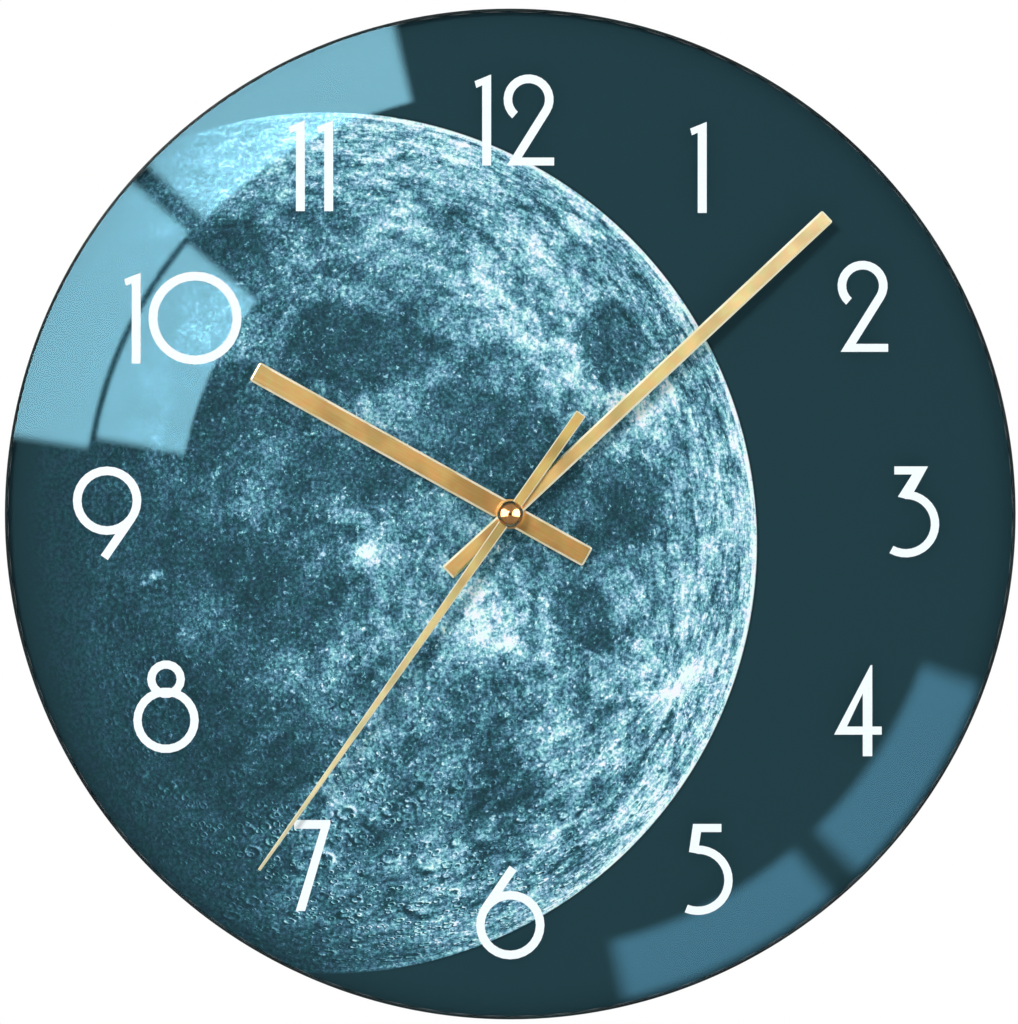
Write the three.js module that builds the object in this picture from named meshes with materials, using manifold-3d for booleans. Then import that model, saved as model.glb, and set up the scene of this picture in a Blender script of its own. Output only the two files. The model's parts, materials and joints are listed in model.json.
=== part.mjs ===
import * as THREE from 'three';
import Module from 'manifold-3d';

const wasm = await Module();
wasm.setup();

// Millimetres. The clock faces -Y, +Z is up. "depth" is the distance in front of the wall, so y = -depth.
// Clearances shared by the whole clock: beside moving pieces, around a turning shaft, and of fitted pieces
const runGap = 0.3;
const bearGap = 0.1;
const fitGap = 0.05;
const seatGap = 0.1;

// How far a cut runs past the face that it opens
const cutOver = 1;

// Dial
const dialR = 150;
const dialSides = 96;
const glassT = 4;
const glassChamfer = 0.5;
const printT = 0.4;
const printMargin = 0.6;
const digitT = 0.2;
const printHoleGap = 0.2;

// Hands: reach, tail, half widths and the angle in the photograph, degrees clockwise from twelve
const hourReach = 86.9;
const hourTail = 26.3;
const hourHalfW = 3.15;
const hourAngle = 299.2;
const minuteReach = 128.9;
const minuteTail = 25.4;
const minuteHalfW = 2.2;
const minuteTailHalfW = 2.45;
const minuteFlare = 0.1;
const minuteAngle = 46.8;
const secondReach = 129;
const secondTail = 36.4;
const secondHalfW = 1.55;
const secondTipHalfW = 0.45;
const secondTailFlare = 0.1;
const secondAngle = 215.2;
const handT = 0.5;
const secondT = 0.35;
const handBevel = 0.35;
const bevelShare = 0.6;
const bevelReach = 1.4;
const clipShare = 0.6;
const hourClip = 0.7;
const minuteClip = 0.6;
const secondClip = 0.4;
const handPitch = 1.9;
const collarT = 1.3;
const bossWall = 1.7;
const bossOverlap = 0.4;
const handLift = 0.7;
const pushDepth = 0.2;
const capR = 3.85;
const capRise = 2.2;

// Mounting stack between the movement and the dial
const bondT = 1;
const bondInnerR = 30;
const carrierT = 4;
const carrierFloor = 1.2;
const carrierRim = 2;
const hangerT = 1;
const hangerHalfW = 12;
const hangerFoot = 13;
const slotHalfW = 2.6;
const slotHeadR = 5;
const slotLen = 9;
const slotMargin = 5;
const slotBelow = 3;
const windowHalfW = 9;
const windowBelow = 1.5;
const windowAbove = 3;
const windowCornerR = 3;
const hangerCornerR = 4;
const nutT = 2.2;
const nutWall = 2.55;
const nutRoom = 1.65;
const threadOut = 0.2;
const threadGap = 0.15;
const pegR = 1.5;
const pegInset = 9;
const pegShort = 1;
const spacerInset = 31;
const spacerDeg = 41;
const spacerR = 8;
const spacerFootInset = 2;
const spacerEdgeInset = 1;
const spacerFlare = 0.4;
const spacerEdge = 1;

// Movement
const caseWall = 1.2;
const caseCornerR = 2;
const coverT = 1.2;
const wheelT = 0.8;
const plateT = 0.8;
const plateInset = 5.3;
const plateClear = 0.5;
const bossT = 0.5;
const layerGap = 0.8;
const frontGap = 2.4;
const postR = 1.4;
const slimPostR = 1.2;
const postInset = 2.24;
const postEdge = 0.98;
const blindShare = 0.75;
const trainGap = 0.8;

// Battery, contacts and bay
const batteryR = 7.1;
const batteryLen = 50.4;
const nubR = 2.75;
const nubLen = 1.4;
const cellEdge = 0.5;
const bayGap = 0.3;
const bayFloorT = 1.1;
const contactT = 0.4;
const contactHalfW = 2;
const cellEndGap = 0.2;
const contactLift = 1.4;
const footInset = 0.7;
const footLen = 2.5;
const springLen = 1.8;
const springWireR = 0.25;
const springOuterR = 4.2;
const springInnerR = 2;
const springTurns = 2.25;
const springSteps = 36;

// Motor, coil and circuit
const magnetR = 3;
const magnetT = 2;
const statorT = 0.8;
const statorRim = 1.7;
const statorRise = 0.5;
const poleGap = 0.5;
const armW = 4.6;
const legW = 3.6;
const lowerLegDrop = 0.55;
const coreT = 0.9;
const coreHalfW = 1.6;
const flangeT = 1;
const flangeHalfD = 2.5;
const flangeHalfH = 3.1;
const windHalfD = 2.2;
const windHalfH = 2.8;
const spoolHalfD = 0.85;
const spoolHalfH = 2;
const coilGap = 1.45;
const windCornerR = 1.5;
const boardT = 0.9;
const boardGap = 0.4;
const boardLift = 1.95;
const boardBelow = 4.2;
const boardAbove = 4.9;
const endGap = 1.2;
const chipR = 2.6;
const chipT = 1.1;
const chipDome = [[1, 0], [0.92, 0.5], [0.5, 0.9], [0, 1]];
const crystalR = 1.05;
const crystalLen = 6;
const crystalEdge = 0.2;
const crystalNeckR = 0.9;
const crystalInset = 8.925;
const crystalRise = 0.5;
const knobR = 5.8;
const knobT = 2.6;
const knobRecess = 3.2;
const knobGap = 0.6;
const recessWall = 1;
const gripLobes = 12;
const gripHalfDeg = 9;
const gripDepth = 0.6;
const shaftR = 1.2;

// Gears: tooth counts and modules
const rotorTeeth = 8;
const fifthTeeth = 48;
const fifthPinionTeeth = 8;
const secondTeeth = 40;
const secondPinionTeeth = 8;
const thirdTeeth = 60;
const thirdPinionTeeth = 8;
const centreTeeth = 64;
const minuteTeeth = 12;
const crossTeeth = 36;
const crossPinionTeeth = 10;
const hourTeeth = 40;
const knobTeeth = 12;
const rotorModule = 0.28;
const fifthModule = 0.36;
const secondModule = 0.32;
const minuteModule = 0.4;
const thirdModule = (secondModule * (secondPinionTeeth + thirdTeeth)) / (thirdPinionTeeth + centreTeeth);
const crossModule = (minuteModule * (minuteTeeth + crossTeeth)) / (crossPinionTeeth + hourTeeth);
const wheelTip = 0.7;
const wheelRoot = 1.15;
const pinionTip = 0.75;
const pinionRoot = 1.2;
const tipShare = 0.16;
const wheelRootShare = 0.5;
const pinionRootShare = 0.4;
const pinionOver = 0.2;
const rotorCollarT = 0.6;

const polar = (from, reach, deg) => [
  from[0] + reach * Math.cos((deg * Math.PI) / 180),
  from[1] + reach * Math.sin((deg * Math.PI) / 180),
];
const between = (teethA, teethB, module) => (module * (teethA + teethB)) / 2;
const centreAxis = [0, 0];
const fifthAxis = polar(centreAxis, between(fifthPinionTeeth, secondTeeth, fifthModule), 120);
const rotorAxis = polar(fifthAxis, between(rotorTeeth, fifthTeeth, rotorModule), 110);
const thirdAxis = polar(centreAxis, between(secondPinionTeeth, thirdTeeth, secondModule), 35);
const crossAxis = polar(centreAxis, between(minuteTeeth, crossTeeth, minuteModule), 195);
const knobAxis = polar(crossAxis, between(crossTeeth, knobTeeth, minuteModule), 165);
const tipOf = (teeth, module) => (teeth / 2 + wheelTip) * module;

// Arbors and tubes on the hands' axis, from the inside out
const pivotR = 0.5;
const arborR = 0.6;
const hubR = 0.9;
const tubeWall = 0.85;
const bushWall = 1.2;
const minuteBoreR = arborR + bearGap;
const minuteTubeR = minuteBoreR + tubeWall;
const hourBoreR = minuteTubeR + bearGap;
const hourTubeR = hourBoreR + tubeWall;
const bushBoreR = hourTubeR + bearGap;
const bushR = bushBoreR + bushWall;
const glassHoleR = bushR + 2 * seatGap;
const bossR = glassHoleR + bossOverlap;
const minuteBossR = minuteTubeR + bossWall;
const secondBossR = arborR + bossWall;

// Layers of the wheel train, as depths from the wall
const arborBack = caseWall + seatGap;
const fifthBack = caseWall + bossT + runGap;
const secondBack = fifthBack + wheelT + layerGap;
const thirdBack = secondBack + wheelT + layerGap;
const plateBack = thirdBack + wheelT + layerGap;
const centreBack = plateBack + plateT + layerGap;
const crossBack = centreBack + wheelT + layerGap;
const hourBack = crossBack + wheelT + layerGap;
const bayDepth = 2 * (batteryR + bayGap) + bayFloorT;
const caseDepth = Math.max(hourBack + wheelT + frontGap + coverT, bayDepth);
const coverBack = caseDepth - coverT;

// Planes of the stack in front of the movement
const hangerFront = caseDepth + hangerT;
const nutBack = hangerFront + carrierFloor;
const carrierFront = hangerFront + carrierT;
const bushFront = nutBack + nutT + threadOut;
const bondFront = carrierFront + bondT;
const printFront = bondFront + printT;
const glassFront = printFront + glassT;
const digitFront = glassFront + digitT;
const hourHandBack = glassFront + handLift;
const minuteHandBack = hourHandBack + handPitch;
const secondHandBack = minuteHandBack + handPitch;
const capSeat = secondHandBack + secondT;
const capCentre = capSeat + capRise;
const hourTubeFront = hourHandBack + collarT - pushDepth;
const minuteTubeFront = minuteHandBack + collarT - pushDepth;
const arborFront = capCentre - 2 * pushDepth;

// Case plan, seen from the front: the bay lies under the wheel train
const bayInner = (batteryLen + springLen + 2 * contactT + 2 * seatGap + 2 * cellEndGap) / 2;
const caseHalf = bayInner + caseWall;
const bayRoof = -(tipOf(centreTeeth, thirdModule) + trainGap);
const bayTop = bayRoof - caseWall;
const batteryZ = bayTop - bayGap - batteryR;
const bayBottom = batteryZ - batteryR - bayGap;
const caseBottom = bayBottom - caseWall;
const bayFloor = caseDepth - bayFloorT;
const batteryDepth = bayFloor - seatGap - batteryR;
const contactX = bayInner - seatGap;
const batteryEnd = contactX - contactT - cellEndGap;
const batteryStart = batteryEnd - batteryLen;

// Motor and circuit plan
const statorR = magnetR + poleGap + statorRim;
const statorBack = fifthBack + wheelT + statorRise;
const coreBack = statorBack + statorT;
const coreMid = coreBack + coreT / 2;
const magnetBack = statorBack - runGap;
const coilZ = rotorAxis[1] + statorR + coilGap;
const coreLeft = rotorAxis[0] + boardGap;
const coreRight = bayInner - endGap;
const bobbinLeft = coreLeft + armW + flangeT;
const bobbinRight = coreRight - legW - flangeT;
const boardBack = coreMid + flangeHalfD + boardLift;
const boardFront = boardBack + boardT;
const boardBottom = coilZ - boardBelow;
const boardTop = coilZ + boardAbove;
const boardHalf = bayInner - endGap - seatGap;
const trainTop = boardTop + boardGap;
const caseTop = trainTop + caseWall;

// Hanger and carrier plan
const slotHeadZ = caseTop + slotBelow + slotHeadR;
const slotTopZ = slotHeadZ + slotLen;
const hangerTop = slotTopZ + slotMargin;
const carrierR = Math.hypot(hangerHalfW - hangerCornerR, hangerTop) + carrierRim;
const bondOuterR = carrierR - carrierRim;
const windowZ = [caseTop + windowBelow, slotTopZ + windowAbove];
const nutR = bushR + nutWall;
const nutRecessR = nutR + nutRoom;
const pegs = [-1, 1].map((side) => [side * (caseHalf - pegInset), caseTop - pegInset]);

// Geometry helpers
function soup(geometry) {
  const flat = geometry.index ? geometry.toNonIndexed() : geometry;
  const p = flat.getAttribute('position');
  const keys = new Map();
  const verts = [];
  const tris = [];
  const idOf = (i) => {
    const v = [p.getX(i), p.getY(i), p.getZ(i)];
    const key = v.map((c) => Math.round(c * 1e4)).join(',');
    if (!keys.has(key)) {
      keys.set(key, verts.length / 3);
      verts.push(...v);
    }
    return keys.get(key);
  };
  for (let i = 0; i < p.count; i += 3) {
    const [a, b, c] = [idOf(i), idOf(i + 1), idOf(i + 2)];
    if (a !== b && b !== c && c !== a) tris.push(a, b, c);
  }
  let six = 0;
  for (let t = 0; t < tris.length; t += 3) {
    const [a, b, c] = [0, 1, 2].map((k) => new THREE.Vector3().fromArray(verts, tris[t + k] * 3));
    six += a.dot(b.cross(c));
  }
  if (six < 0) {
    for (let t = 0; t < tris.length; t += 3) [tris[t], tris[t + 1]] = [tris[t + 1], tris[t]];
  }
  return { verts, tris };
}

function fromSoup({ verts, tris }) {
  const geometry = new THREE.BufferGeometry();
  geometry.setAttribute('position', new THREE.Float32BufferAttribute(verts, 3));
  geometry.setIndex([...tris]);
  return geometry;
}

function toSolid(geometry) {
  const { verts, tris } = soup(geometry);
  const mesh = new wasm.Mesh({
    numProp: 3,
    vertProperties: new Float32Array(verts),
    triVerts: new Uint32Array(tris),
  });
  return new wasm.Manifold(mesh);
}

function fromSolid(solid) {
  const mesh = solid.getMesh();
  return fromSoup({ verts: Array.from(mesh.vertProperties), tris: Array.from(mesh.triVerts) });
}

function build(base, adds = [], cuts = []) {
  let solid = toSolid(base);
  for (const g of adds) solid = solid.add(toSolid(g));
  for (const g of cuts) solid = solid.subtract(toSolid(g));
  return fromSolid(solid);
}

// A shape drawn as seen from the front, x right and y up, given depth from back to front.
function plate(shape, back, front, curveSegments = 12) {
  const g = new THREE.ExtrudeGeometry(shape, { depth: front - back, bevelEnabled: false, curveSegments });
  g.translate(0, 0, back);
  g.rotateX(Math.PI / 2);
  return g;
}

function polygon(points, holes = []) {
  const outline = points.map(([x, y]) => new THREE.Vector2(x, y));
  if (THREE.ShapeUtils.isClockWise(outline)) outline.reverse();
  const shape = new THREE.Shape(outline);
  for (const h of holes) shape.holes.push(new THREE.Path(h.map(([x, y]) => new THREE.Vector2(x, y))));
  return shape;
}

function circle([x, y], r, n, turn = 0) {
  return Array.from({ length: n }, (_, i) => {
    const a = turn + (2 * Math.PI * i) / n;
    return [x + r * Math.cos(a), y + r * Math.sin(a)];
  });
}

const disc = (at, r, back, front, n = 16) => plate(polygon(circle(at, r, n)), back, front);
const tube = (at, r, bore, back, front, n = 16) =>
  plate(polygon(circle(at, r, n), [circle(at, bore, n)]), back, front);

function rect(x0, x1, z0, z1) {
  return [[x0, z0], [x1, z0], [x1, z1], [x0, z1]];
}

const block = (x0, x1, z0, z1, back, front) => plate(polygon(rect(x0, x1, z0, z1)), back, front);

function rounded(x0, x1, z0, z1, r, n = 3) {
  const pts = [];
  const corners = [[x1 - r, z1 - r, 0], [x0 + r, z1 - r, 90], [x0 + r, z0 + r, 180], [x1 - r, z0 + r, 270]];
  for (const [cx, cz, a0] of corners) {
    for (let i = 0; i <= n; i++) pts.push(polar([cx, cz], r, a0 + (90 * i) / n));
  }
  return pts;
}

// A turned piece about a front-to-back axis; the profile lists [radius, depth].
function turned(at, profile, n) {
  const g = new THREE.LatheGeometry(profile.map(([r, d]) => new THREE.Vector2(r, d)), n);
  g.rotateX(Math.PI);
  const out = fromSoup(soup(g));
  out.translate(at[0], 0, at[1]);
  return out;
}

// A turned piece about an axis along X, at (depth, z); the profile lists [radius, x].
function turnedX(depth, z, profile, n) {
  const g = new THREE.LatheGeometry(profile.map(([r, x]) => new THREE.Vector2(r, x)), n);
  g.rotateZ(-Math.PI / 2);
  const out = fromSoup(soup(g));
  out.translate(0, -depth, z);
  return out;
}

// A section drawn as [depth, z], run from x0 to x1.
function barX(points, x0, x1, holes = []) {
  const flip = (list) => list.map(([d, z]) => [-d, z]);
  const shape = polygon(flip(points), holes.map(flip));
  const g = new THREE.ExtrudeGeometry(shape, { depth: x1 - x0, bevelEnabled: false });
  const m = new THREE.Matrix4().set(0, 0, 1, x0, 1, 0, 0, 0, 0, 1, 0, 0, 0, 0, 0, 1);
  g.applyMatrix4(m);
  return g;
}

function gearPoints(at, teeth, module, turn, small) {
  const pitchR = (teeth * module) / 2;
  const tipR = pitchR + (small ? pinionTip : wheelTip) * module;
  const rootR = pitchR - (small ? pinionRoot : wheelRoot) * module;
  const tipHalf = (tipShare * Math.PI * module) / 2 / tipR;
  const rootHalf = ((small ? pinionRootShare : wheelRootShare) * Math.PI * module) / 2 / rootR;
  const pts = [];
  for (let k = 0; k < teeth; k++) {
    const a = turn + (2 * Math.PI * k) / teeth;
    for (const [r, t] of [[rootR, -rootHalf], [tipR, -tipHalf], [tipR, tipHalf], [rootR, rootHalf]]) {
      pts.push([at[0] + r * Math.cos(a + t), at[1] + r * Math.sin(a + t)]);
    }
  }
  return pts;
}

// The turn that puts the second gear's gap where the first gear's tooth is.
function meshTurn(atA, teethA, turnA, atB, teethB, module) {
  const line = Math.atan2(atB[1] - atA[1], atB[0] - atA[0]);
  const [ra, rb] = [(teethA * module) / 2, (teethB * module) / 2];
  return line + Math.PI - ((turnA - line) * ra + (Math.PI * module) / 2) / rb;
}

function gear(at, teeth, module, turn, small, back, front, boreR = 0) {
  const holes = boreR ? [circle(at, boreR, 16)] : [];
  return plate(polygon(gearPoints(at, teeth, module, turn, small), holes), back, front);
}

const pinion = (at, teeth, module, back, front) => gear(at, teeth, module, 0, true, back, front);

// A straight bar seen from the front that narrows to a smaller face at its front.
function blade(outline, inset, back, front, bevel, angle) {
  const rings = [[outline, back], [outline, front - bevel], [inset, front]];
  const n = outline.length;
  const verts = [];
  for (const [pts, d] of rings) for (const [x, y] of pts) verts.push(x, y, d);
  const tris = [];
  for (let k = 0; k < rings.length - 1; k++) {
    for (let i = 0; i < n; i++) {
      const [a, b] = [k * n + i, k * n + ((i + 1) % n)];
      tris.push(a, b, b + n, a, b + n, a + n);
    }
  }
  const top = (rings.length - 1) * n;
  for (let i = 1; i < n - 1; i++) tris.push(0, i + 1, i, top, top + i, top + i + 1);
  const g = fromSoup({ verts, tris });
  g.rotateZ((-angle * Math.PI) / 180);
  g.rotateX(Math.PI / 2);
  return g;
}

// Half widths along a hand, from tail to tip, with clipped corners.
function handOutline(stations, clip, inset) {
  const right = [];
  const last = stations.length - 1;
  stations.forEach(([y, h], i) => {
    const end = i === 0 ? 1 : i === last ? -1 : 0;
    const w = h - inset;
    const yy = y + end * inset;
    const c = Math.min(clip, w * clipShare);
    if (end === 1) right.push([w - c, yy], [w, yy + c]);
    else if (end === -1) right.push([w, yy - c], [w - c, yy]);
    else right.push([w, yy]);
  });
  const left = right.map(([x, y]) => [-x, y]).reverse();
  return [...right, ...left];
}

function hand(stations, back, thick, angle, clip) {
  const bevel = Math.min(handBevel, thick * bevelShare);
  const face = handOutline(stations, clip, bevel * bevelReach);
  return blade(handOutline(stations, clip, 0), face, back, back + thick, bevel, angle);
}

// Figures, drawn in mm with the left edge at x = 0 and the foot at y = 0
const stroke = 2.55;
const boldStroke = 2.65;
const slimStroke = 2.45;
const figureH = 27;

function arcBand(cx, cy, r, w, from, to, n) {
  const pts = [];
  for (let i = 0; i <= n; i++) pts.push(polar([cx, cy], r, from + ((to - from) * i) / n));
  for (let i = n; i >= 0; i--) pts.push(polar([cx, cy], r - w, from + ((to - from) * i) / n));
  return polygon(pts);
}

const ring = (cx, cy, r, w, n) => polygon(circle([cx, cy], r, n), [circle([cx, cy], r - w, n)]);

// A straight stroke from a point on a ring's middle line, square at its far end.
function tail(cx, cy, r, w, deg, length, side) {
  const mid = r - w / 2;
  const [px, py] = polar([cx, cy], mid, deg);
  const a = ((deg - 90 * side) * Math.PI) / 180;
  const [dx, dy] = [Math.cos(a), Math.sin(a)];
  const [nx, ny] = [(-dy * w) / 2, (dx * w) / 2];
  const [ex, ey] = [px + dx * length, py + dy * length];
  return polygon([[px + nx, py + ny], [px - nx, py - ny], [ex - nx, ey - ny], [ex + nx, ey + ny]]);
}

const loopR = 10.15;
const zeroR = 13.8;
const zeroDrop = 0.3;
const nineRise = 0.6;
const tailLen = 14.4;
const twoR = 7.42;
const twoLean = 32;

function twoStem() {
  const [px, py] = polar([twoR, figureH - twoR], twoR - stroke / 2, -twoLean);
  const a = (twoLean * Math.PI) / 180;
  const [dx, dy] = [(stroke / 2) * Math.cos(a), (stroke / 2) * Math.sin(a)];
  const slope = Math.tan(a);
  const foot = ([x, y]) => [x - y * slope, 0];
  const right = [px + dx, py - dy];
  const left = [px - dx, py + dy];
  return polygon([foot(left), foot(right), right, left]);
}

const figures = {
  0: { width: 2 * zeroR, shapes: [ring(zeroR, zeroR - zeroDrop, zeroR, boldStroke, 32)] },
  1: {
    width: 4.9,
    shapes: [
      polygon([[2.25, 0], [4.9, 0], [4.9, figureH], [0, figureH - 2], [0.5, figureH - 4], [2.25, figureH - 3.2]]),
    ],
  },
  2: {
    width: 15,
    shapes: [
      arcBand(twoR, figureH - twoR, twoR, stroke, 229, -twoLean, 20),
      twoStem(),
      polygon(rect(2.2, 15, 0, 2.35)),
    ],
  },
  3: {
    width: 14.9,
    shapes: [
      arcBand(5, 9.9, 9.9, slimStroke, 92, -119.5, 20),
      polygon([
        [1.6, 24.6],
        [6.85, 24.6],
        [2.65, 18],
        [5, 17.4],
        [7.4, 19.4],
        [11.6, figureH],
        [1.6, figureH],
      ]),
    ],
  },
  4: {
    width: 14.1,
    shapes: [
      polygon(
        [
          [0, 6.4],
          [8.5, 6.4],
          [8.5, 0],
          [11.3, 0],
          [11.3, 6.4],
          [14.1, 6.4],
          [14.1, 8.8],
          [11.3, 8.8],
          [11.3, figureH],
          [10.8, figureH],
        ],
        [[[3.8, 8.8], [8.5, 8.8], [8.5, 18.7]]],
      ),
    ],
  },
  5: {
    width: 14.2,
    shapes: [
      arcBand(3.85, 10.3, 10.3, slimStroke, 92, -112.5, 20),
      polygon([
        [2.4, figureH],
        [1.2, 18.7],
        [3.85, 18.2],
        [4.1, 20.3],
        [4.75, 24.6],
        [10.8, 24.6],
        [10.8, figureH],
      ]),
    ],
  },
  6: {
    width: 2 * loopR,
    shapes: [ring(loopR, loopR, loopR, stroke, 28), tail(loopR, loopR, loopR, stroke, 145.5, tailLen, 1)],
  },
  7: {
    width: 10.8,
    shapes: [
      polygon([
        [0, figureH],
        [0, 24.4],
        [7.9, 24.4],
        [0.5, 0],
        [3.3, 0],
        [10.8, 25.8],
        [10.8, figureH],
      ]),
    ],
  },
  8: {
    width: 19.4,
    shapes: [ring(9.7, 9.6, 9.7, slimStroke, 26), ring(9.7, 21.8, 5.6, slimStroke, 18)],
  },
  9: {
    width: 2 * loopR,
    shapes: [
      ring(loopR, figureH - loopR + nineRise, loopR, stroke, 28),
      tail(loopR, figureH - loopR + nineRise, loopR, stroke, -34.5, tailLen, 1),
    ],
  },
};

// Each numeral: degrees clockwise from twelve, distance in from the rim, and the gap between its figures
const numerals = [
  ['12', 0.6, 33.1, 3.7],
  ['1', 28.5, 33, 0],
  ['2', 59.5, 28.6, 0],
  ['3', 89.7, 30.2, 0],
  ['4', 119.5, 31.5, 0],
  ['5', 150.8, 29.2, 0],
  ['6', 180, 31.4, 0],
  ['7', 209.4, 30.3, 0],
  ['8', 240.7, 32.9, 0],
  ['9', 270, 30.4, 0],
  ['10', 300.9, 36.8, 2.3],
  ['11', 330.2, 30.9, 3.5],
];

// Materials
function paint(color, roughness, metalness = 0) {
  return new THREE.MeshStandardMaterial({ color, roughness, metalness });
}
const colours = {
  glass: paint(0x35545c, 0.08),
  print: paint(0x24404a, 0.5),
  white: paint(0xf4f8f8, 0.5),
  gold: paint(0xb99563, 0.35, 0.9),
  paleGold: paint(0xdcc796, 0.3, 0.9),
  brass: paint(0xc9a06a, 0.2, 1),
  black: paint(0x1d1e20, 0.6),
  grey: paint(0x4a4d50, 0.6),
  foam: paint(0xd8d8d2, 0.9),
  steel: paint(0xa9adb0, 0.4, 0.9),
  nylon: paint(0xe6e2d4, 0.6),
  amber: paint(0xb86a2c, 0.5, 0.4),
  board: paint(0x2f6b43, 0.6),
  rubber: paint(0x9aa0a0, 0.8),
  magnet: paint(0x4b4f55, 0.4, 0.7),
  cell: paint(0x39404a, 0.4, 0.3),
};

const part = new THREE.Group();
function piece(name, geometry, material) {
  const { verts, tris } = soup(geometry);
  const g = fromSoup({ verts, tris });
  g.computeVertexNormals();
  const mesh = new THREE.Mesh(g, material);
  mesh.name = name;
  part.add(mesh);
}

// Dial
piece(
  'dial_glass',
  turned(
    centreAxis,
    [
      [glassHoleR, printFront],
      [dialR - glassChamfer, printFront],
      [dialR, printFront + glassChamfer],
      [dialR, glassFront - glassChamfer],
      [dialR - glassChamfer, glassFront],
      [glassHoleR, glassFront],
      [glassHoleR, printFront],
    ],
    dialSides,
  ),
  colours.glass,
);
piece(
  'dial_print',
  plate(
    polygon(circle(centreAxis, dialR - printMargin, dialSides), [
      circle(centreAxis, glassHoleR + printHoleGap, 24),
    ]),
    bondFront,
    printFront,
  ),
  colours.print,
);

for (const [text, deg, inset, gap] of numerals) {
  const [cx, cz] = polar(centreAxis, dialR - inset, 90 - deg);
  const total = [...text].reduce((sum, c) => sum + figures[c].width, 0) + gap * (text.length - 1);
  let x = cx - total / 2;
  [...text].forEach((c, i) => {
    const solids = figures[c].shapes.map((s) => plate(s, glassFront, digitFront));
    const g = build(solids[0], solids.slice(1));
    g.translate(x, 0, cz - figureH / 2);
    x += figures[c].width + gap;
    const suffix = text.length > 1 ? ['_tens', '_units'][i] : '';
    piece(`numeral_${text}${suffix}`, g, colours.white);
  });
}

// Mounting stack behind the dial
piece('adhesive_ring', tube(centreAxis, bondOuterR, bondInnerR, carrierFront, bondFront, 40), colours.foam);

piece(
  'carrier_plate',
  build(
    disc(centreAxis, carrierR, hangerFront, carrierFront, 56),
    [],
    [
      disc(centreAxis, bushR + runGap, hangerFront - cutOver, carrierFront + cutOver, 24),
      disc(centreAxis, nutRecessR, nutBack, carrierFront + cutOver, 24),
      plate(
        polygon(rounded(-windowHalfW, windowHalfW, ...windowZ, windowCornerR)),
        hangerFront - cutOver,
        carrierFront + cutOver,
      ),
      ...pegs.map((p) => disc(p, pegR + runGap, hangerFront - cutOver, carrierFront + cutOver, 12)),
    ],
  ),
  colours.grey,
);
piece(
  'mounting_nut',
  plate(
    polygon(circle(centreAxis, nutR, 6), [circle(centreAxis, bushR + threadGap, 24)]),
    nutBack,
    nutBack + nutT,
  ),
  colours.brass,
);

// A nail head enters at the round end, and the nail then lies in the narrow top of the slot.
function keyhole() {
  const join = Math.asin(slotHalfW / slotHeadR);
  const pts = [];
  for (let i = 0; i <= 10; i++) pts.push(polar([0, slotTopZ - slotHalfW], slotHalfW, (180 * i) / 10));
  const a0 = Math.PI / 2 + join;
  const a1 = Math.PI / 2 - join + 2 * Math.PI;
  for (let i = 0; i <= 18; i++) {
    const a = a0 + ((a1 - a0) * i) / 18;
    pts.push([slotHeadR * Math.cos(a), slotHeadZ + slotHeadR * Math.sin(a)]);
  }
  return pts;
}
piece(
  'wall_hanger',
  plate(
    polygon(rounded(-hangerHalfW, hangerHalfW, -hangerFoot, hangerTop, hangerCornerR, 4), [
      circle(centreAxis, bushR + runGap, 24),
      keyhole(),
    ]),
    caseDepth,
    hangerFront,
  ),
  colours.steel,
);

for (const [name, side] of [['spacer_left', -1], ['spacer_right', 1]]) {
  const at = polar(centreAxis, dialR - spacerInset, -90 + side * spacerDeg);
  const profile = [
    [0, 0],
    [spacerR - spacerFootInset, 0],
    [spacerR - spacerEdgeInset, spacerEdge],
    [spacerR - spacerFlare, bondFront - spacerEdge],
    [spacerR, bondFront],
    [0, bondFront],
  ];
  piece(name, turned(at, profile, 20), colours.rubber);
}

// Movement case, open to the front over the train and to the rear over the battery
const knobRecessR = knobR + knobGap;
const plateHalf = bayInner - plateInset;
const plateBottom = bayRoof + plateClear;
const plateTop = boardBottom - plateClear;
const contactDepths = [batteryDepth - contactHalfW, boardFront + contactT];
const slotDepths = [contactDepths[0] - runGap, contactDepths[1] + runGap];
const slotW = bayInner - contactX + contactT + runGap;
const platePosts = [
  [knobAxis[0] + knobRecessR, plateBottom + postInset],
  [plateHalf - postR, plateBottom + postInset],
  [plateHalf - postEdge, rotorAxis[1] - 2 * postR],
  [knobAxis[0] - plateClear, knobAxis[1] + knobRecessR + recessWall + postInset + postR],
];
const boardPosts = [-1, 1].map((side) => [side * (boardHalf - plateClear), boardTop - slimPostR]);
const corePosts = [[coreLeft + armW / 2, coilZ], [coreRight - legW / 2, coilZ]];
const bearings = [[centreAxis, arborR], [fifthAxis, pivotR], [thirdAxis, pivotR], [rotorAxis, pivotR]];
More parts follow.
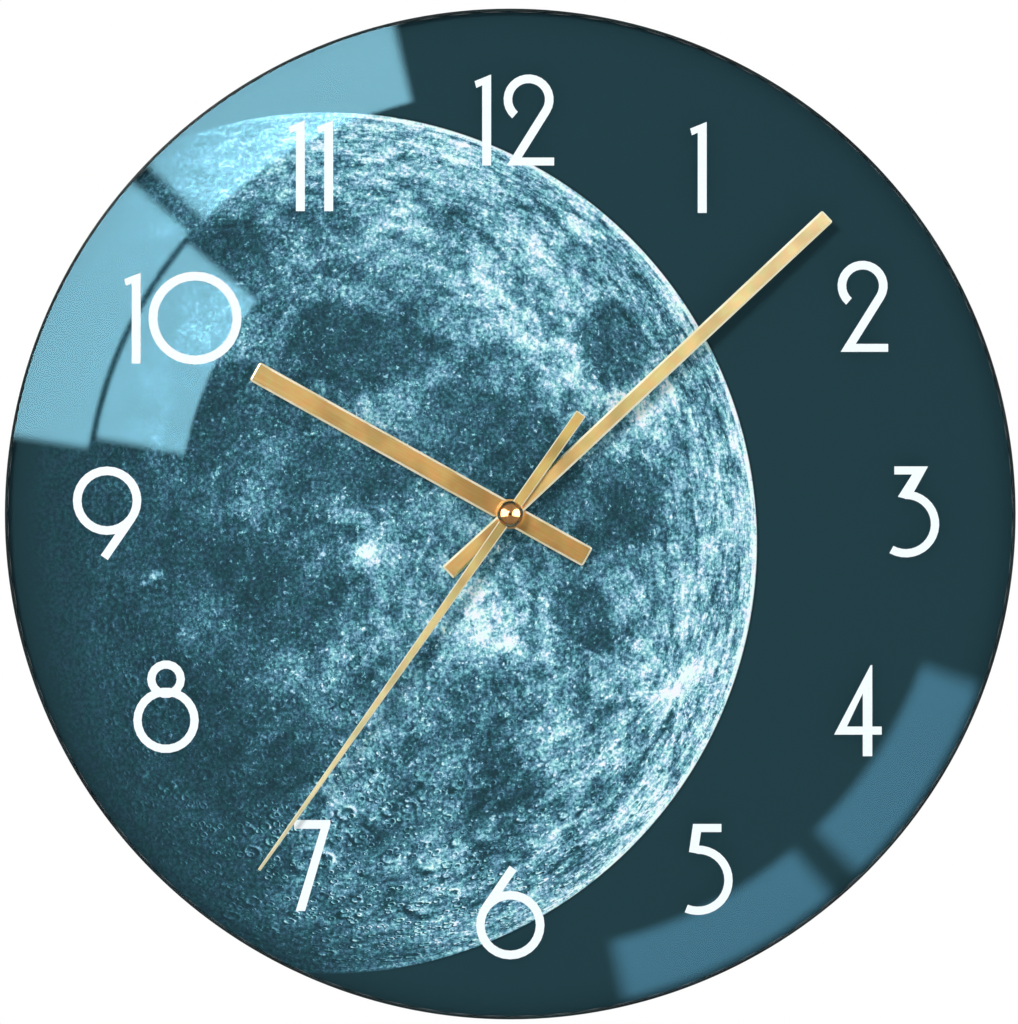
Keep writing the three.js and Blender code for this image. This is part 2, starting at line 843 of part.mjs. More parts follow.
piece(
  'movement_case',
  build(
    build(
      plate(polygon(rounded(-caseHalf, caseHalf, caseBottom, caseTop, caseCornerR)), 0, caseDepth),
      [],
      [block(-bayInner, bayInner, bayRoof, trainTop, caseWall, caseDepth + cutOver)],
    ),
    [
      disc(knobAxis, knobRecessR + recessWall, 0, knobRecess + recessWall, 24),
      ...platePosts.map((p) => disc(p, postR, caseWall / 2, plateBack, 12)),
      ...boardPosts.map((p) => disc(p, slimPostR, caseWall / 2, boardBack, 12)),
      ...corePosts.map((p) => disc(p, slimPostR, caseWall / 2, statorBack, 12)),
      ...bearings.map(([p]) => disc(p, postR, caseWall / 2, caseWall + bossT, 12)),
    ],
    [
      block(-bayInner, bayInner, bayBottom, bayTop, -cutOver, bayFloor),
      disc(knobAxis, knobRecessR, -cutOver, knobRecess, 24),
      disc(knobAxis, shaftR + bearGap, 0, knobRecess + recessWall + cutOver, 12),
      ...bearings.map(([p, r]) => disc(p, r + bearGap, arborBack - runGap, caseWall + cutOver, 12)),
      block(-bayInner, -bayInner + slotW, bayTop - cutOver, bayRoof + cutOver, ...slotDepths),
      block(bayInner - slotW, bayInner, bayTop - cutOver, bayRoof + cutOver, ...slotDepths),
    ],
  ),
  colours.black,
);

const coverEdge = bayInner - runGap;
piece(
  'front_cover',
  build(
    block(-coverEdge, coverEdge, bayRoof + runGap, trainTop - runGap, coverBack, caseDepth),
    [
      disc(centreAxis, bushR, coverBack + coverT / 2, bushFront, 24),
      disc(crossAxis, arborR, crossBack - runGap, coverBack + coverT / 2, 12),
      disc(thirdAxis, postR, coverBack - bossT, coverBack + coverT / 2, 12),
      ...pegs.map((p) => disc(p, pegR, coverBack + coverT / 2, carrierFront - pegShort, 12)),
    ],
    [
      disc(centreAxis, bushBoreR, coverBack - cutOver, bushFront + cutOver, 24),
      disc(knobAxis, arborR + bearGap, coverBack - cutOver, coverBack + blindShare * coverT, 12),
      disc(thirdAxis, pivotR + bearGap, coverBack - bossT - cutOver, coverBack + blindShare * coverT, 12),
    ],
  ),
  colours.black,
);

piece(
  'middle_plate',
  build(
    block(-plateHalf, plateHalf, plateBottom, plateTop, plateBack, plateBack + plateT),
    [],
    [
      disc(centreAxis, arborR + bearGap, 0, coverBack, 12),
      disc(fifthAxis, pivotR + bearGap, 0, coverBack, 12),
      disc(rotorAxis, pivotR + bearGap, 0, coverBack, 12),
      disc(thirdAxis, hubR + runGap, 0, coverBack, 12),
      disc(knobAxis, shaftR + runGap, 0, coverBack, 12),
    ],
  ),
  colours.nylon,
);

// Stepping motor
piece(
  'stator',
  build(
    disc(rotorAxis, statorR, statorBack, coreBack, 24),
    [
      block(coreLeft, coreLeft + armW, rotorAxis[1], coilZ + coreHalfW, statorBack, coreBack),
      block(rotorAxis[0], coreRight, rotorAxis[1] - lowerLegDrop, boardBottom + runGap, statorBack, coreBack),
      block(coreRight - legW, coreRight, rotorAxis[1], coilZ + coreHalfW, statorBack, coreBack),
    ],
    [disc(rotorAxis, magnetR + poleGap, 0, coverBack, 20)],
  ),
  colours.steel,
);
piece(
  'coil_core',
  block(coreLeft, coreRight, coilZ - coreHalfW, coilZ + coreHalfW, coreBack, coreBack + coreT),
  colours.steel,
);
const section = (halfD, halfH) => rect(coreMid - halfD, coreMid + halfD, coilZ - halfH, coilZ + halfH);
const coreHole = [section(coreT / 2 + seatGap, coreHalfW + seatGap)];
const flange = section(flangeHalfD, flangeHalfH);
piece(
  'coil_bobbin',
  build(barX(section(spoolHalfD, spoolHalfH), bobbinLeft, bobbinRight, coreHole), [
    barX(flange, bobbinLeft, bobbinLeft + flangeT, coreHole),
    barX(flange, bobbinRight - flangeT, bobbinRight, coreHole),
  ]),
  colours.nylon,
);
piece(
  'coil_winding',
  barX(
    rounded(coreMid - windHalfD, coreMid + windHalfD, coilZ - windHalfH, coilZ + windHalfH, windCornerR),
    bobbinLeft + flangeT + seatGap,
    bobbinRight - flangeT - seatGap,
    [section(spoolHalfD + seatGap, spoolHalfH + seatGap)],
  ),
  colours.amber,
);
piece(
  'circuit_board',
  block(-boardHalf, boardHalf, boardBottom, boardTop, boardBack, boardFront),
  colours.board,
);
piece(
  'timing_chip',
  turned(
    [boardHalf / 2, coilZ],
    [[0, boardBack], ...chipDome.map(([r, d]) => [chipR * r, boardBack - chipT * d])],
    14,
  ),
  colours.black,
);
const crystalX = crystalInset - boardHalf;
piece(
  'quartz_crystal',
  turnedX(
    boardFront + crystalR + fitGap,
    coilZ + crystalRise,
    [
      [0, crystalX],
      [crystalNeckR, crystalX],
      [crystalR, crystalX + crystalEdge],
      [crystalR, crystalX + crystalLen],
      [0, crystalX + crystalLen],
    ],
    12,
  ),
  colours.steel,
);

// Battery contacts: a strip up each end wall, through the bay's roof, with a foot on the circuit board
const footZ = [boardBottom + footInset, boardBottom + footInset + contactHalfW];
function strip(side) {
  const span = (p, q) => (p < q ? [p, q] : [q, p]);
  const outer = side * contactX;
  return [
    block(...span(outer, outer - side * contactT), bayBottom + contactLift, footZ[1], ...contactDepths),
    block(...span(outer, side * (boardHalf - footLen)), ...footZ, boardFront, contactDepths[1]),
  ];
}
class SpringPath extends THREE.Curve {
  getPoint(t) {
    const a = 2 * Math.PI * springTurns * t;
    const r = springOuterR + (springInnerR - springOuterR) * t;
    return new THREE.Vector3(
      -contactX + contactT / 2 + (contactT / 2 + springLen - springWireR) * t,
      -batteryDepth + r * Math.cos(a),
      batteryZ + r * Math.sin(a),
    );
  }
}
const spring = new THREE.ExtrudeGeometry(polygon(circle(centreAxis, springWireR, 6)), {
  steps: springSteps,
  extrudePath: new SpringPath(),
});
const [positiveStrip, positiveFoot] = strip(1);
const [negativeStrip, negativeFoot] = strip(-1);
piece('contact_positive', build(positiveStrip, [positiveFoot]), colours.steel);
piece('contact_negative', build(negativeStrip, [negativeFoot, spring]), colours.steel);

piece(
  'battery',
  turnedX(
    batteryDepth,
    batteryZ,
    [
      [0, batteryStart],
      [batteryR - cellEdge, batteryStart],
      [batteryR, batteryStart + cellEdge],
      [batteryR, batteryEnd - nubLen - cellEdge],
      [batteryR - cellEdge, batteryEnd - nubLen],
      [nubR, batteryEnd - nubLen],
      [nubR, batteryEnd - cellEdge / 2],
      [nubR - cellEdge / 2, batteryEnd],
      [0, batteryEnd],
    ],
    24,
  ),
  colours.cell,
);

// Wheel train, each pinion cut into the same piece as its wheel
const fifthTurn = meshTurn(rotorAxis, rotorTeeth, 0, fifthAxis, fifthTeeth, rotorModule);
const secondTurn = meshTurn(fifthAxis, fifthPinionTeeth, 0, centreAxis, secondTeeth, fifthModule);
const thirdTurn = meshTurn(centreAxis, secondPinionTeeth, 0, thirdAxis, thirdTeeth, secondModule);
const centreTurn = meshTurn(thirdAxis, thirdPinionTeeth, 0, centreAxis, centreTeeth, thirdModule);
const crossTurn = meshTurn(centreAxis, minuteTeeth, 0, crossAxis, crossTeeth, minuteModule);
const knobTurn = meshTurn(crossAxis, crossTeeth, crossTurn, knobAxis, knobTeeth, minuteModule);
const hourTurn = meshTurn(crossAxis, crossPinionTeeth, 0, centreAxis, hourTeeth, crossModule);

const shaft = (at, r, back, front) => disc(at, r, back, front, 12);
piece(
  'rotor_magnet',
  tube(rotorAxis, magnetR, pivotR + 2 * seatGap, magnetBack, magnetBack + magnetT, 20),
  colours.magnet,
);
piece(
  'rotor_pinion',
  build(shaft(rotorAxis, pivotR, arborBack, plateBack + plateT / 2), [
    pinion(rotorAxis, rotorTeeth, rotorModule, fifthBack - pinionOver, magnetBack),
    shaft(rotorAxis, 2 * pivotR, magnetBack + magnetT, magnetBack + magnetT + rotorCollarT),
  ]),
  colours.nylon,
);
piece(
  'fifth_wheel',
  build(shaft(fifthAxis, pivotR, arborBack, plateBack + plateT / 2), [
    gear(fifthAxis, fifthTeeth, rotorModule, fifthTurn, false, fifthBack, fifthBack + wheelT),
    pinion(fifthAxis, fifthPinionTeeth, fifthModule, fifthBack + wheelT / 2, secondBack + wheelT + runGap),
  ]),
  colours.nylon,
);
piece(
  'second_wheel',
  build(
    shaft(centreAxis, hubR, fifthBack, secondBack + wheelT / 2),
    [
      gear(centreAxis, secondTeeth, fifthModule, secondTurn, false, secondBack, secondBack + wheelT),
      pinion(centreAxis, secondPinionTeeth, secondModule, secondBack + wheelT / 2, thirdBack + wheelT + runGap),
    ],
    [shaft(centreAxis, arborR + fitGap, 0, coverBack)],
  ),
  colours.nylon,
);
piece('second_arbor', shaft(centreAxis, arborR, arborBack, arborFront), colours.steel);
piece(
  'third_wheel',
  build(shaft(thirdAxis, pivotR, arborBack, coverBack + runGap), [
    gear(thirdAxis, thirdTeeth, secondModule, thirdTurn, false, thirdBack, thirdBack + wheelT),
    shaft(thirdAxis, hubR, thirdBack - runGap, centreBack),
    pinion(thirdAxis, thirdPinionTeeth, thirdModule, centreBack - pinionOver, centreBack + wheelT + runGap),
  ]),
  colours.nylon,
);
piece(
  'centre_wheel',
  gear(
    centreAxis,
    centreTeeth,
    thirdModule,
    centreTurn,
    false,
    centreBack,
    centreBack + wheelT,
    minuteTubeR + fitGap,
  ),
  colours.brass,
);
piece(
  'minute_tube',
  build(
    disc(centreAxis, minuteTubeR, centreBack - runGap, minuteTubeFront, 16),
    [
      disc(centreAxis, minuteTubeR + tubeWall, centreBack + wheelT, crossBack - runGap, 16),
      pinion(centreAxis, minuteTeeth, minuteModule, crossBack - runGap, crossBack + wheelT + runGap),
    ],
    [shaft(centreAxis, minuteBoreR, 0, 2 * capSeat)],
  ),
  colours.nylon,
);
piece(
  'cross_wheel',
  build(
    gear(crossAxis, crossTeeth, minuteModule, crossTurn, false, crossBack, crossBack + wheelT),
    [
      pinion(crossAxis, crossPinionTeeth, crossModule, crossBack + wheelT / 2, hourBack + wheelT + runGap),
      shaft(crossAxis, postR, hourBack, coverBack - runGap),
    ],
    [shaft(crossAxis, arborR + bearGap, 0, caseDepth)],
  ),
  colours.nylon,
);
piece(
  'hour_wheel',
  build(
    gear(centreAxis, hourTeeth, crossModule, hourTurn, false, hourBack, hourBack + wheelT),
    [
      disc(centreAxis, hourTubeR, hourBack, hourTubeFront, 20),
      disc(centreAxis, bushR, hourBack + wheelT / 2, coverBack - runGap, 20),
    ],
    [disc(centreAxis, hourBoreR, 0, 2 * capSeat, 16)],
  ),
  colours.nylon,
);

function gripOutline(at, r, lobes) {
  const pts = [];
  for (let k = 0; k < lobes; k++) {
    const a = (360 * k) / lobes;
    pts.push(polar(at, r, a - gripHalfDeg));
    pts.push(polar(at, r, a + gripHalfDeg));
    pts.push(polar(at, r - gripDepth, a + 180 / lobes));
  }
  return pts;
}
const knobBack = knobRecess - knobT - 2 * seatGap;
piece(
  'setting_knob',
  build(plate(polygon(gripOutline(knobAxis, knobR, gripLobes)), knobBack, knobBack + knobT), [
    shaft(knobAxis, shaftR, knobBack + knobT / 2, crossBack),
    gear(
      knobAxis,
      knobTeeth,
      minuteModule,
      knobTurn,
      true,
      crossBack - pinionOver,
      crossBack + wheelT + pinionOver,
    ),
    shaft(knobAxis, arborR, crossBack, coverBack + coverT / 2),
  ]),
  colours.grey,
);

// Hands
const collar = (r, back, n) => disc(centreAxis, r, back, back + collarT, n);
const bore = (r, n) => disc(centreAxis, r + fitGap, 0, 2 * capSeat, n);
piece(
  'hour_hand',
  build(
    hand([[-hourTail, hourHalfW], [hourReach, hourHalfW]], hourHandBack, handT, hourAngle, hourClip),
    [collar(bossR, hourHandBack - runGap, 24)],
    [bore(hourTubeR, 20)],
  ),
  colours.gold,
);
piece(
  'minute_hand',
  build(
    hand(
      [
        [-minuteTail, minuteTailHalfW],
        [0, minuteHalfW - minuteFlare],
        [minuteReach, minuteHalfW + minuteFlare],
      ],
      minuteHandBack,
      handT,
      minuteAngle,
      minuteClip,
    ),
    [collar(minuteBossR, minuteHandBack - runGap, 24)],
    [bore(minuteTubeR, 16)],
  ),
  colours.paleGold,
);
piece(
  'second_hand',
  build(
    hand(
      [[-secondTail, secondHalfW + secondTailFlare], [0, secondHalfW], [secondReach, secondTipHalfW]],
      secondHandBack,
      secondT,
      secondAngle,
      secondClip,
    ),
    [disc(centreAxis, secondBossR, secondHandBack - runGap, capSeat, 20)],
    [bore(arborR, 12)],
  ),
  colours.paleGold,
);
function capProfile() {
  const seat = Math.asin((capSeat - capCentre) / capR);
  const pts = [[0, capCentre], [arborR + fitGap, capCentre], [arborR + fitGap, capSeat]];
  for (let i = 0; i <= 9; i++) {
    const a = seat + ((Math.PI / 2 - seat) * i) / 9;
    pts.push([i === 9 ? 0 : capR * Math.cos(a), capCentre + capR * Math.sin(a)]);
  }
  return pts;
}
piece('centre_cap', turned(centreAxis, capProfile(), 22), colours.brass);

export default part;
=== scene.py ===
import json
import math

import bpy
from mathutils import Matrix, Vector


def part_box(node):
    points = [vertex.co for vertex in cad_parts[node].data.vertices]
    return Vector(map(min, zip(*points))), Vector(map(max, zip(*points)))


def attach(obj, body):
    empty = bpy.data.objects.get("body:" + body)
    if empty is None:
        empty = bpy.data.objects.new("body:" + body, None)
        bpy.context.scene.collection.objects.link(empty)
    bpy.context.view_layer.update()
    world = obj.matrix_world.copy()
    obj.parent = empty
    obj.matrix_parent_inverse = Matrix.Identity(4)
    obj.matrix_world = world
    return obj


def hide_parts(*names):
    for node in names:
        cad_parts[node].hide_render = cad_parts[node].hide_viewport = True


print("clock: loading the frame")
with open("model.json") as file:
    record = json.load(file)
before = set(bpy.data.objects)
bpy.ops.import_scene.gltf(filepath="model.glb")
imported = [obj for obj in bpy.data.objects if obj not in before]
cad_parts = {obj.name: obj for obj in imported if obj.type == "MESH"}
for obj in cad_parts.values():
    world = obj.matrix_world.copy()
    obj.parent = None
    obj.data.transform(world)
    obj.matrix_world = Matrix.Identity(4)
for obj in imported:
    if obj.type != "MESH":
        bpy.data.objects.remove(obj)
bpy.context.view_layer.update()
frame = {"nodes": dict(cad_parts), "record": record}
nodes = frame["nodes"]
bpy.ops.object.select_all(action="DESELECT")

mm = 0.001
glassLow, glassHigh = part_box("dial_glass")
glassRadius = (glassHigh.x - glassLow.x) / 2
glassFace = glassLow.y

# The camera looks straight at the dial, and the disc fills the photograph as it does there
photo = {
    "width": 1018,
    "height": 1024,
    "discX": 510.25,
    "discY": 514.0,
    "discRadius": 505.6,
    "distance": 1.6,
    "sensor": 36.0,
}
pixelsPerMetre = photo["discRadius"] / glassRadius
cameraX = (photo["width"] / 2 - photo["discX"]) / pixelsPerMetre
cameraZ = (photo["discY"] - photo["height"] / 2) / pixelsPerMetre
bpy.ops.object.camera_add(
    location=(cameraX, glassFace - photo["distance"], cameraZ),
    rotation=(math.radians(90), 0, 0),
)
camera = bpy.context.object
camera.name = "camera"
camera.data.sensor_width = photo["sensor"]
camera.data.lens = pixelsPerMetre * photo["distance"] * photo["sensor"] / photo["height"]
bpy.context.scene.camera = camera
bpy.context.scene.view_settings.view_transform = "Standard"
print("clock: camera set")


# Node helpers
def put(tree, kind, sockets=None, **settings):
    node = tree.nodes.new(kind)
    for key, value in settings.items():
        setattr(node, key, value)
    for key, value in (sockets or {}).items():
        if isinstance(value, bpy.types.NodeSocket):
            tree.links.new(value, node.inputs[key])
        else:
            node.inputs[key].default_value = value
    return node


def calc(tree, operation, a, b=0.0, c=0.0):
    return put(tree, "ShaderNodeMath", {0: a, 1: b, 2: c}, operation=operation).outputs[0]


def vectorCalc(tree, operation, a, b=(0.0, 0.0, 0.0), c=(0.0, 0.0, 0.0)):
    return put(tree, "ShaderNodeVectorMath", {0: a, 1: b, 2: c}, operation=operation)


def fade(tree, value, start, end, low=0.0, high=1.0, curve="SMOOTHSTEP"):
    sockets = {0: value, 1: start, 2: end, 3: low, 4: high}
    return put(tree, "ShaderNodeMapRange", sockets, interpolation_type=curve).outputs[0]


def noise(tree, vector, scale, detail=2.0, roughness=0.5, distortion=0.0):
    sockets = {
        "Vector": vector,
        "Scale": scale,
        "Detail": detail,
        "Roughness": roughness,
        "Distortion": distortion,
    }
    return put(tree, "ShaderNodeTexNoise", sockets)


def colourMix(tree, factor, a, b, blend="MIX"):
    return put(tree, "ShaderNodeMix", {0: factor, 6: a, 7: b}, data_type="RGBA", blend_type=blend).outputs[2]


def tint(red, green, blue):
    shares = [value / 255 for value in (red, green, blue)]
    linear = [s / 12.92 if s <= 0.04045 else ((s + 0.055) / 1.055) ** 2.4 for s in shares]
    return (*linear, 1.0)


def stops(tree, value, steps, curve="LINEAR"):
    node = put(tree, "ShaderNodeValToRGB", {0: value})
    ramp = node.color_ramp
    ramp.interpolation = curve
    while len(ramp.elements) < len(steps):
        ramp.elements.new(1.0)
    for element, (place, colour) in zip(ramp.elements, steps):
        element.position = place
        element.color = colour
    return node.outputs[0]


def grey(value):
    return (value, value, value, 1.0)


def newMaterial(name):
    material = bpy.data.materials.new(name)
    material.use_nodes = True
    tree = material.node_tree
    tree.nodes.clear()
    output = put(tree, "ShaderNodeOutputMaterial")
    place = put(tree, "ShaderNodeTexCoord").outputs["Object"]
    return material, tree, output, place


def surface(tree, output, shader):
    tree.links.new(shader.outputs[0], output.inputs["Surface"])


def bump(tree, height, depth, strength=1.0):
    return put(tree, "ShaderNodeBump", {"Height": height, "Distance": depth, "Strength": strength}).outputs[0]


# Stage: white surroundings, two soft lamps with the stronger one at the upper left, a pale floor,
# and one card with window panes
stage = {
    "surroundings": 0.5,
    "keyPlace": (-0.62, -1.8, 0.62),
    "keySize": 0.5,
    "keyPower": 19.0,
    "fillPlace": (1.5, -1.4, 0.5),
    "fillSize": 1.2,
    "fillPower": 4.0,
    "floorHeight": -0.26,
    "floorHalf": 1.0,
    "floorGlow": (0.45, 1.0),
    "floorGlowReach": (0.35, 0.95),
}
world = bpy.data.worlds.new("studio")
bpy.context.scene.world = world
world.use_nodes = True
worldTree = world.node_tree
worldTree.nodes.clear()
rays = put(worldTree, "ShaderNodeLightPath")
seen = calc(worldTree, "MAXIMUM", rays.outputs["Is Camera Ray"], rays.outputs["Is Glossy Ray"])
seen = calc(worldTree, "MAXIMUM", seen, rays.outputs["Is Transmission Ray"])
level = fade(worldTree, seen, 0.0, 1.0, stage["surroundings"], 1.0, "LINEAR")
sky = put(worldTree, "ShaderNodeBackground", {"Color": grey(1.0), "Strength": level})
worldOutput = put(worldTree, "ShaderNodeOutputWorld")
worldTree.links.new(sky.outputs[0], worldOutput.inputs["Surface"])


def addLamp(name, place, size, power):
    bpy.ops.object.light_add(type="AREA", location=place)
    lamp = bpy.context.object
    lamp.name = name
    lamp.data.shape = "DISK"
    lamp.data.size = size
    lamp.data.energy = power
    aim = Vector((0.0, glassFace, 0.0)) - Vector(place)
    lamp.rotation_euler = aim.to_track_quat("-Z", "Y").to_euler()
    return lamp


addLamp("keyLamp", stage["keyPlace"], stage["keySize"], stage["keyPower"])
addLamp("fillLamp", stage["fillPlace"], stage["fillSize"], stage["fillPower"])


def floorMaterial():
    material, tree, output, place = newMaterial("paleFloor")
    reach = vectorCalc(tree, "LENGTH", place).outputs["Value"]
    start, end = stage["floorGlowReach"]
    low, high = stage["floorGlow"]
    share = calc(tree, "MULTIPLY_ADD", fade(tree, reach, start, end), high - low, low)
    speckle = noise(tree, place, 60.0, 3.0).outputs["Fac"]
    colour = colourMix(tree, fade(tree, speckle, 0.4, 0.6), grey(0.86), grey(0.9))
    plain = put(tree, "ShaderNodeBsdfDiffuse", {"Color": colour})
    white = put(tree, "ShaderNodeEmission", {"Color": grey(1.0), "Strength": 1.0})
    mix = put(tree, "ShaderNodeMixShader", {0: share, 1: plain.outputs[0], 2: white.outputs[0]})
    surface(tree, output, mix)
    return material


bpy.ops.mesh.primitive_circle_add(
    vertices=64,
    radius=stage["floorHalf"],
    fill_type="NGON",
    location=(0, 0, stage["floorHeight"]),
)
floor = bpy.context.object
floor.name = "floor"
floor.data.materials.append(floorMaterial())

# Window panes as the glass shows them: radii as shares of the disc's, angles clockwise from twelve
window = {
    "behindCamera": 0.02,
    "radius": 0.36,
    "upperGlow": (4.4, 10.3, 13.0),
    "lowerGlow": (1.0, 3.1, 4.7),
    "upper": [(0.838, 1.01, -46.0, -13.5), (0.845, 1.01, -81.0, -48.8), (0.655, 0.832, -79.5, -50.0)],
    "lower": [(0.868, 0.985, 110.2, 135.9), (0.868, 0.985, 139.9, 166.6)],
    "upperSoft": (0.006, 0.9),
    "lowerSoft": (0.016, 1.6),
}


def panes(tree, reach, angle, rows, soft):
    total = 0.0
    for near, far, first, last in rows:
        inner = fade(tree, reach, near - soft[0], near + soft[0])
        outer = fade(tree, reach, far + soft[0], far - soft[0])
        start = fade(tree, angle, first - soft[1], first + soft[1])
        end = fade(tree, angle, last + soft[1], last - soft[1])
        across = calc(tree, "MULTIPLY", inner, outer)
        along = calc(tree, "MULTIPLY", start, end)
        total = calc(tree, "ADD", total, calc(tree, "MULTIPLY", across, along))
    return total


def windowMaterial():
    material, tree, output, place = newMaterial("windowCard")
    reachBack = photo["distance"] + window["behindCamera"]
    ratio = reachBack / photo["distance"]
    scale = 1 / ((1 + ratio) * glassRadius)
    mapped = put(
        tree,
        "ShaderNodeMapping",
        {
            "Vector": place,
            "Location": (ratio * cameraX * scale, 0, ratio * cameraZ * scale),
            "Scale": (scale, 0, scale),
        },
    ).outputs[0]
    reach = vectorCalc(tree, "LENGTH", mapped).outputs["Value"]
    parts = put(tree, "ShaderNodeSeparateXYZ", {0: mapped})
    angle = calc(tree, "ARCTAN2", parts.outputs["X"], parts.outputs["Z"])
    angle = calc(tree, "DEGREES", angle)
    upper = panes(tree, reach, angle, window["upper"], window["upperSoft"])
    lower = panes(tree, reach, angle, window["lower"], window["lowerSoft"])
    upperLight = vectorCalc(tree, "SCALE", window["upperGlow"])
    tree.links.new(upper, upperLight.inputs["Scale"])
    lowerLight = vectorCalc(tree, "SCALE", window["lowerGlow"])
    tree.links.new(lower, lowerLight.inputs["Scale"])
    light = vectorCalc(tree, "ADD", upperLight.outputs[0], lowerLight.outputs[0]).outputs[0]
    surface(tree, output, put(tree, "ShaderNodeEmission", {"Color": light, "Strength": 1.0}))
    return material


bpy.ops.mesh.primitive_circle_add(
    vertices=64,
    radius=window["radius"],
    fill_type="NGON",
    location=(0, glassFace - photo["distance"] - window["behindCamera"], 0),
    rotation=(math.radians(90), 0, 0),
)
card = bpy.context.object
card.name = "windowCard"
bpy.ops.object.transform_apply(location=True, rotation=True, scale=True)
card.data.materials.append(windowMaterial())
card.visible_camera = False
card.visible_diffuse = False
card.visible_transmission = False
card.visible_shadow = False
print("clock: stage set")


# Modelling helpers
def openEdit():
    bpy.ops.object.mode_set(mode="EDIT")
    bpy.ops.mesh.select_mode(type="VERT")
    bpy.ops.mesh.select_all(action="SELECT")


def startEdit(name):
    piece = bpy.context.object
    piece.name = name
    bpy.ops.object.transform_apply(location=True, rotation=True, scale=True)
    openEdit()
    return piece


def endEdit(merge=1e-7):
    bpy.ops.mesh.select_all(action="SELECT")
    bpy.ops.mesh.remove_doubles(threshold=merge)
    bpy.ops.mesh.normals_make_consistent(inside=False)
    bpy.ops.object.mode_set(mode="OBJECT")


def only(piece):
    bpy.ops.object.select_all(action="DESELECT")
    piece.select_set(True)
    bpy.context.view_layer.objects.active = piece


# Rings of vertices pulled out one after the other round an axis along Y or X;
# each ring is (radius, place on the axis)
def turnedPiece(name, rings, sides, centre=(0.0, 0.0, 0.0), alongX=False):
    firstRadius, firstPlace = rings[0]
    at = Vector(centre)
    at[0 if alongX else 1] = firstPlace
    bpy.ops.object.select_all(action="DESELECT")
    bpy.ops.mesh.primitive_circle_add(
        vertices=sides,
        radius=max(firstRadius, 1e-6),
        location=at,
        rotation=(0, math.radians(90), 0) if alongX else (math.radians(90), 0, 0),
    )
    piece = startEdit(name)
    radius = max(firstRadius, 1e-6)
    for nextRadius, nextPlace in rings[1:]:
        nextRadius = max(nextRadius, 1e-6)
        step = [0.0, 0.0, 0.0]
        step[0 if alongX else 1] = nextPlace - at[0 if alongX else 1]
        at[0 if alongX else 1] = nextPlace
        bpy.ops.mesh.extrude_region_move(TRANSFORM_OT_translate={"value": step})
        ratio = nextRadius / radius
        size = (1, ratio, ratio) if alongX else (ratio, 1, ratio)
        bpy.ops.transform.resize(value=size, center_override=at)
        radius = nextRadius
    endEdit(merge=3e-6)
    return piece


def applyModifier(piece, kind, **settings):
    only(piece)
    modifier = piece.modifiers.new(kind.lower(), kind)
    for key, value in settings.items():
        setattr(modifier, key, value)
    bpy.ops.object.modifier_apply(modifier=modifier.name)


# Rounded edges shade smoothly while the flats beside them stay flat
def smooth(piece, angle=35):
    only(piece)
    bpy.ops.object.shade_smooth_by_angle(angle=math.radians(angle))
    applyModifier(piece, "WEIGHTED_NORMAL", mode="FACE_AREA", weight=100, keep_sharp=True)


def roundEdges(piece, width, segments=3, angle=30):
    applyModifier(
        piece,
        "BEVEL",
        width=width,
        segments=segments,
        limit_method="ANGLE",
        angle_limit=math.radians(angle),
        use_clamp_overlap=True,
    )


def combine(piece, other, operation):
    applyModifier(piece, "BOOLEAN", object=other, operation=operation, solver="EXACT")
    bpy.data.objects.remove(other)


def dress(piece, body, slot, material, *replaced):
    piece.data.materials.clear()
    piece.data.materials.append(material)
    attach(piece, body)
    if replaced:
        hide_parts(*replaced)


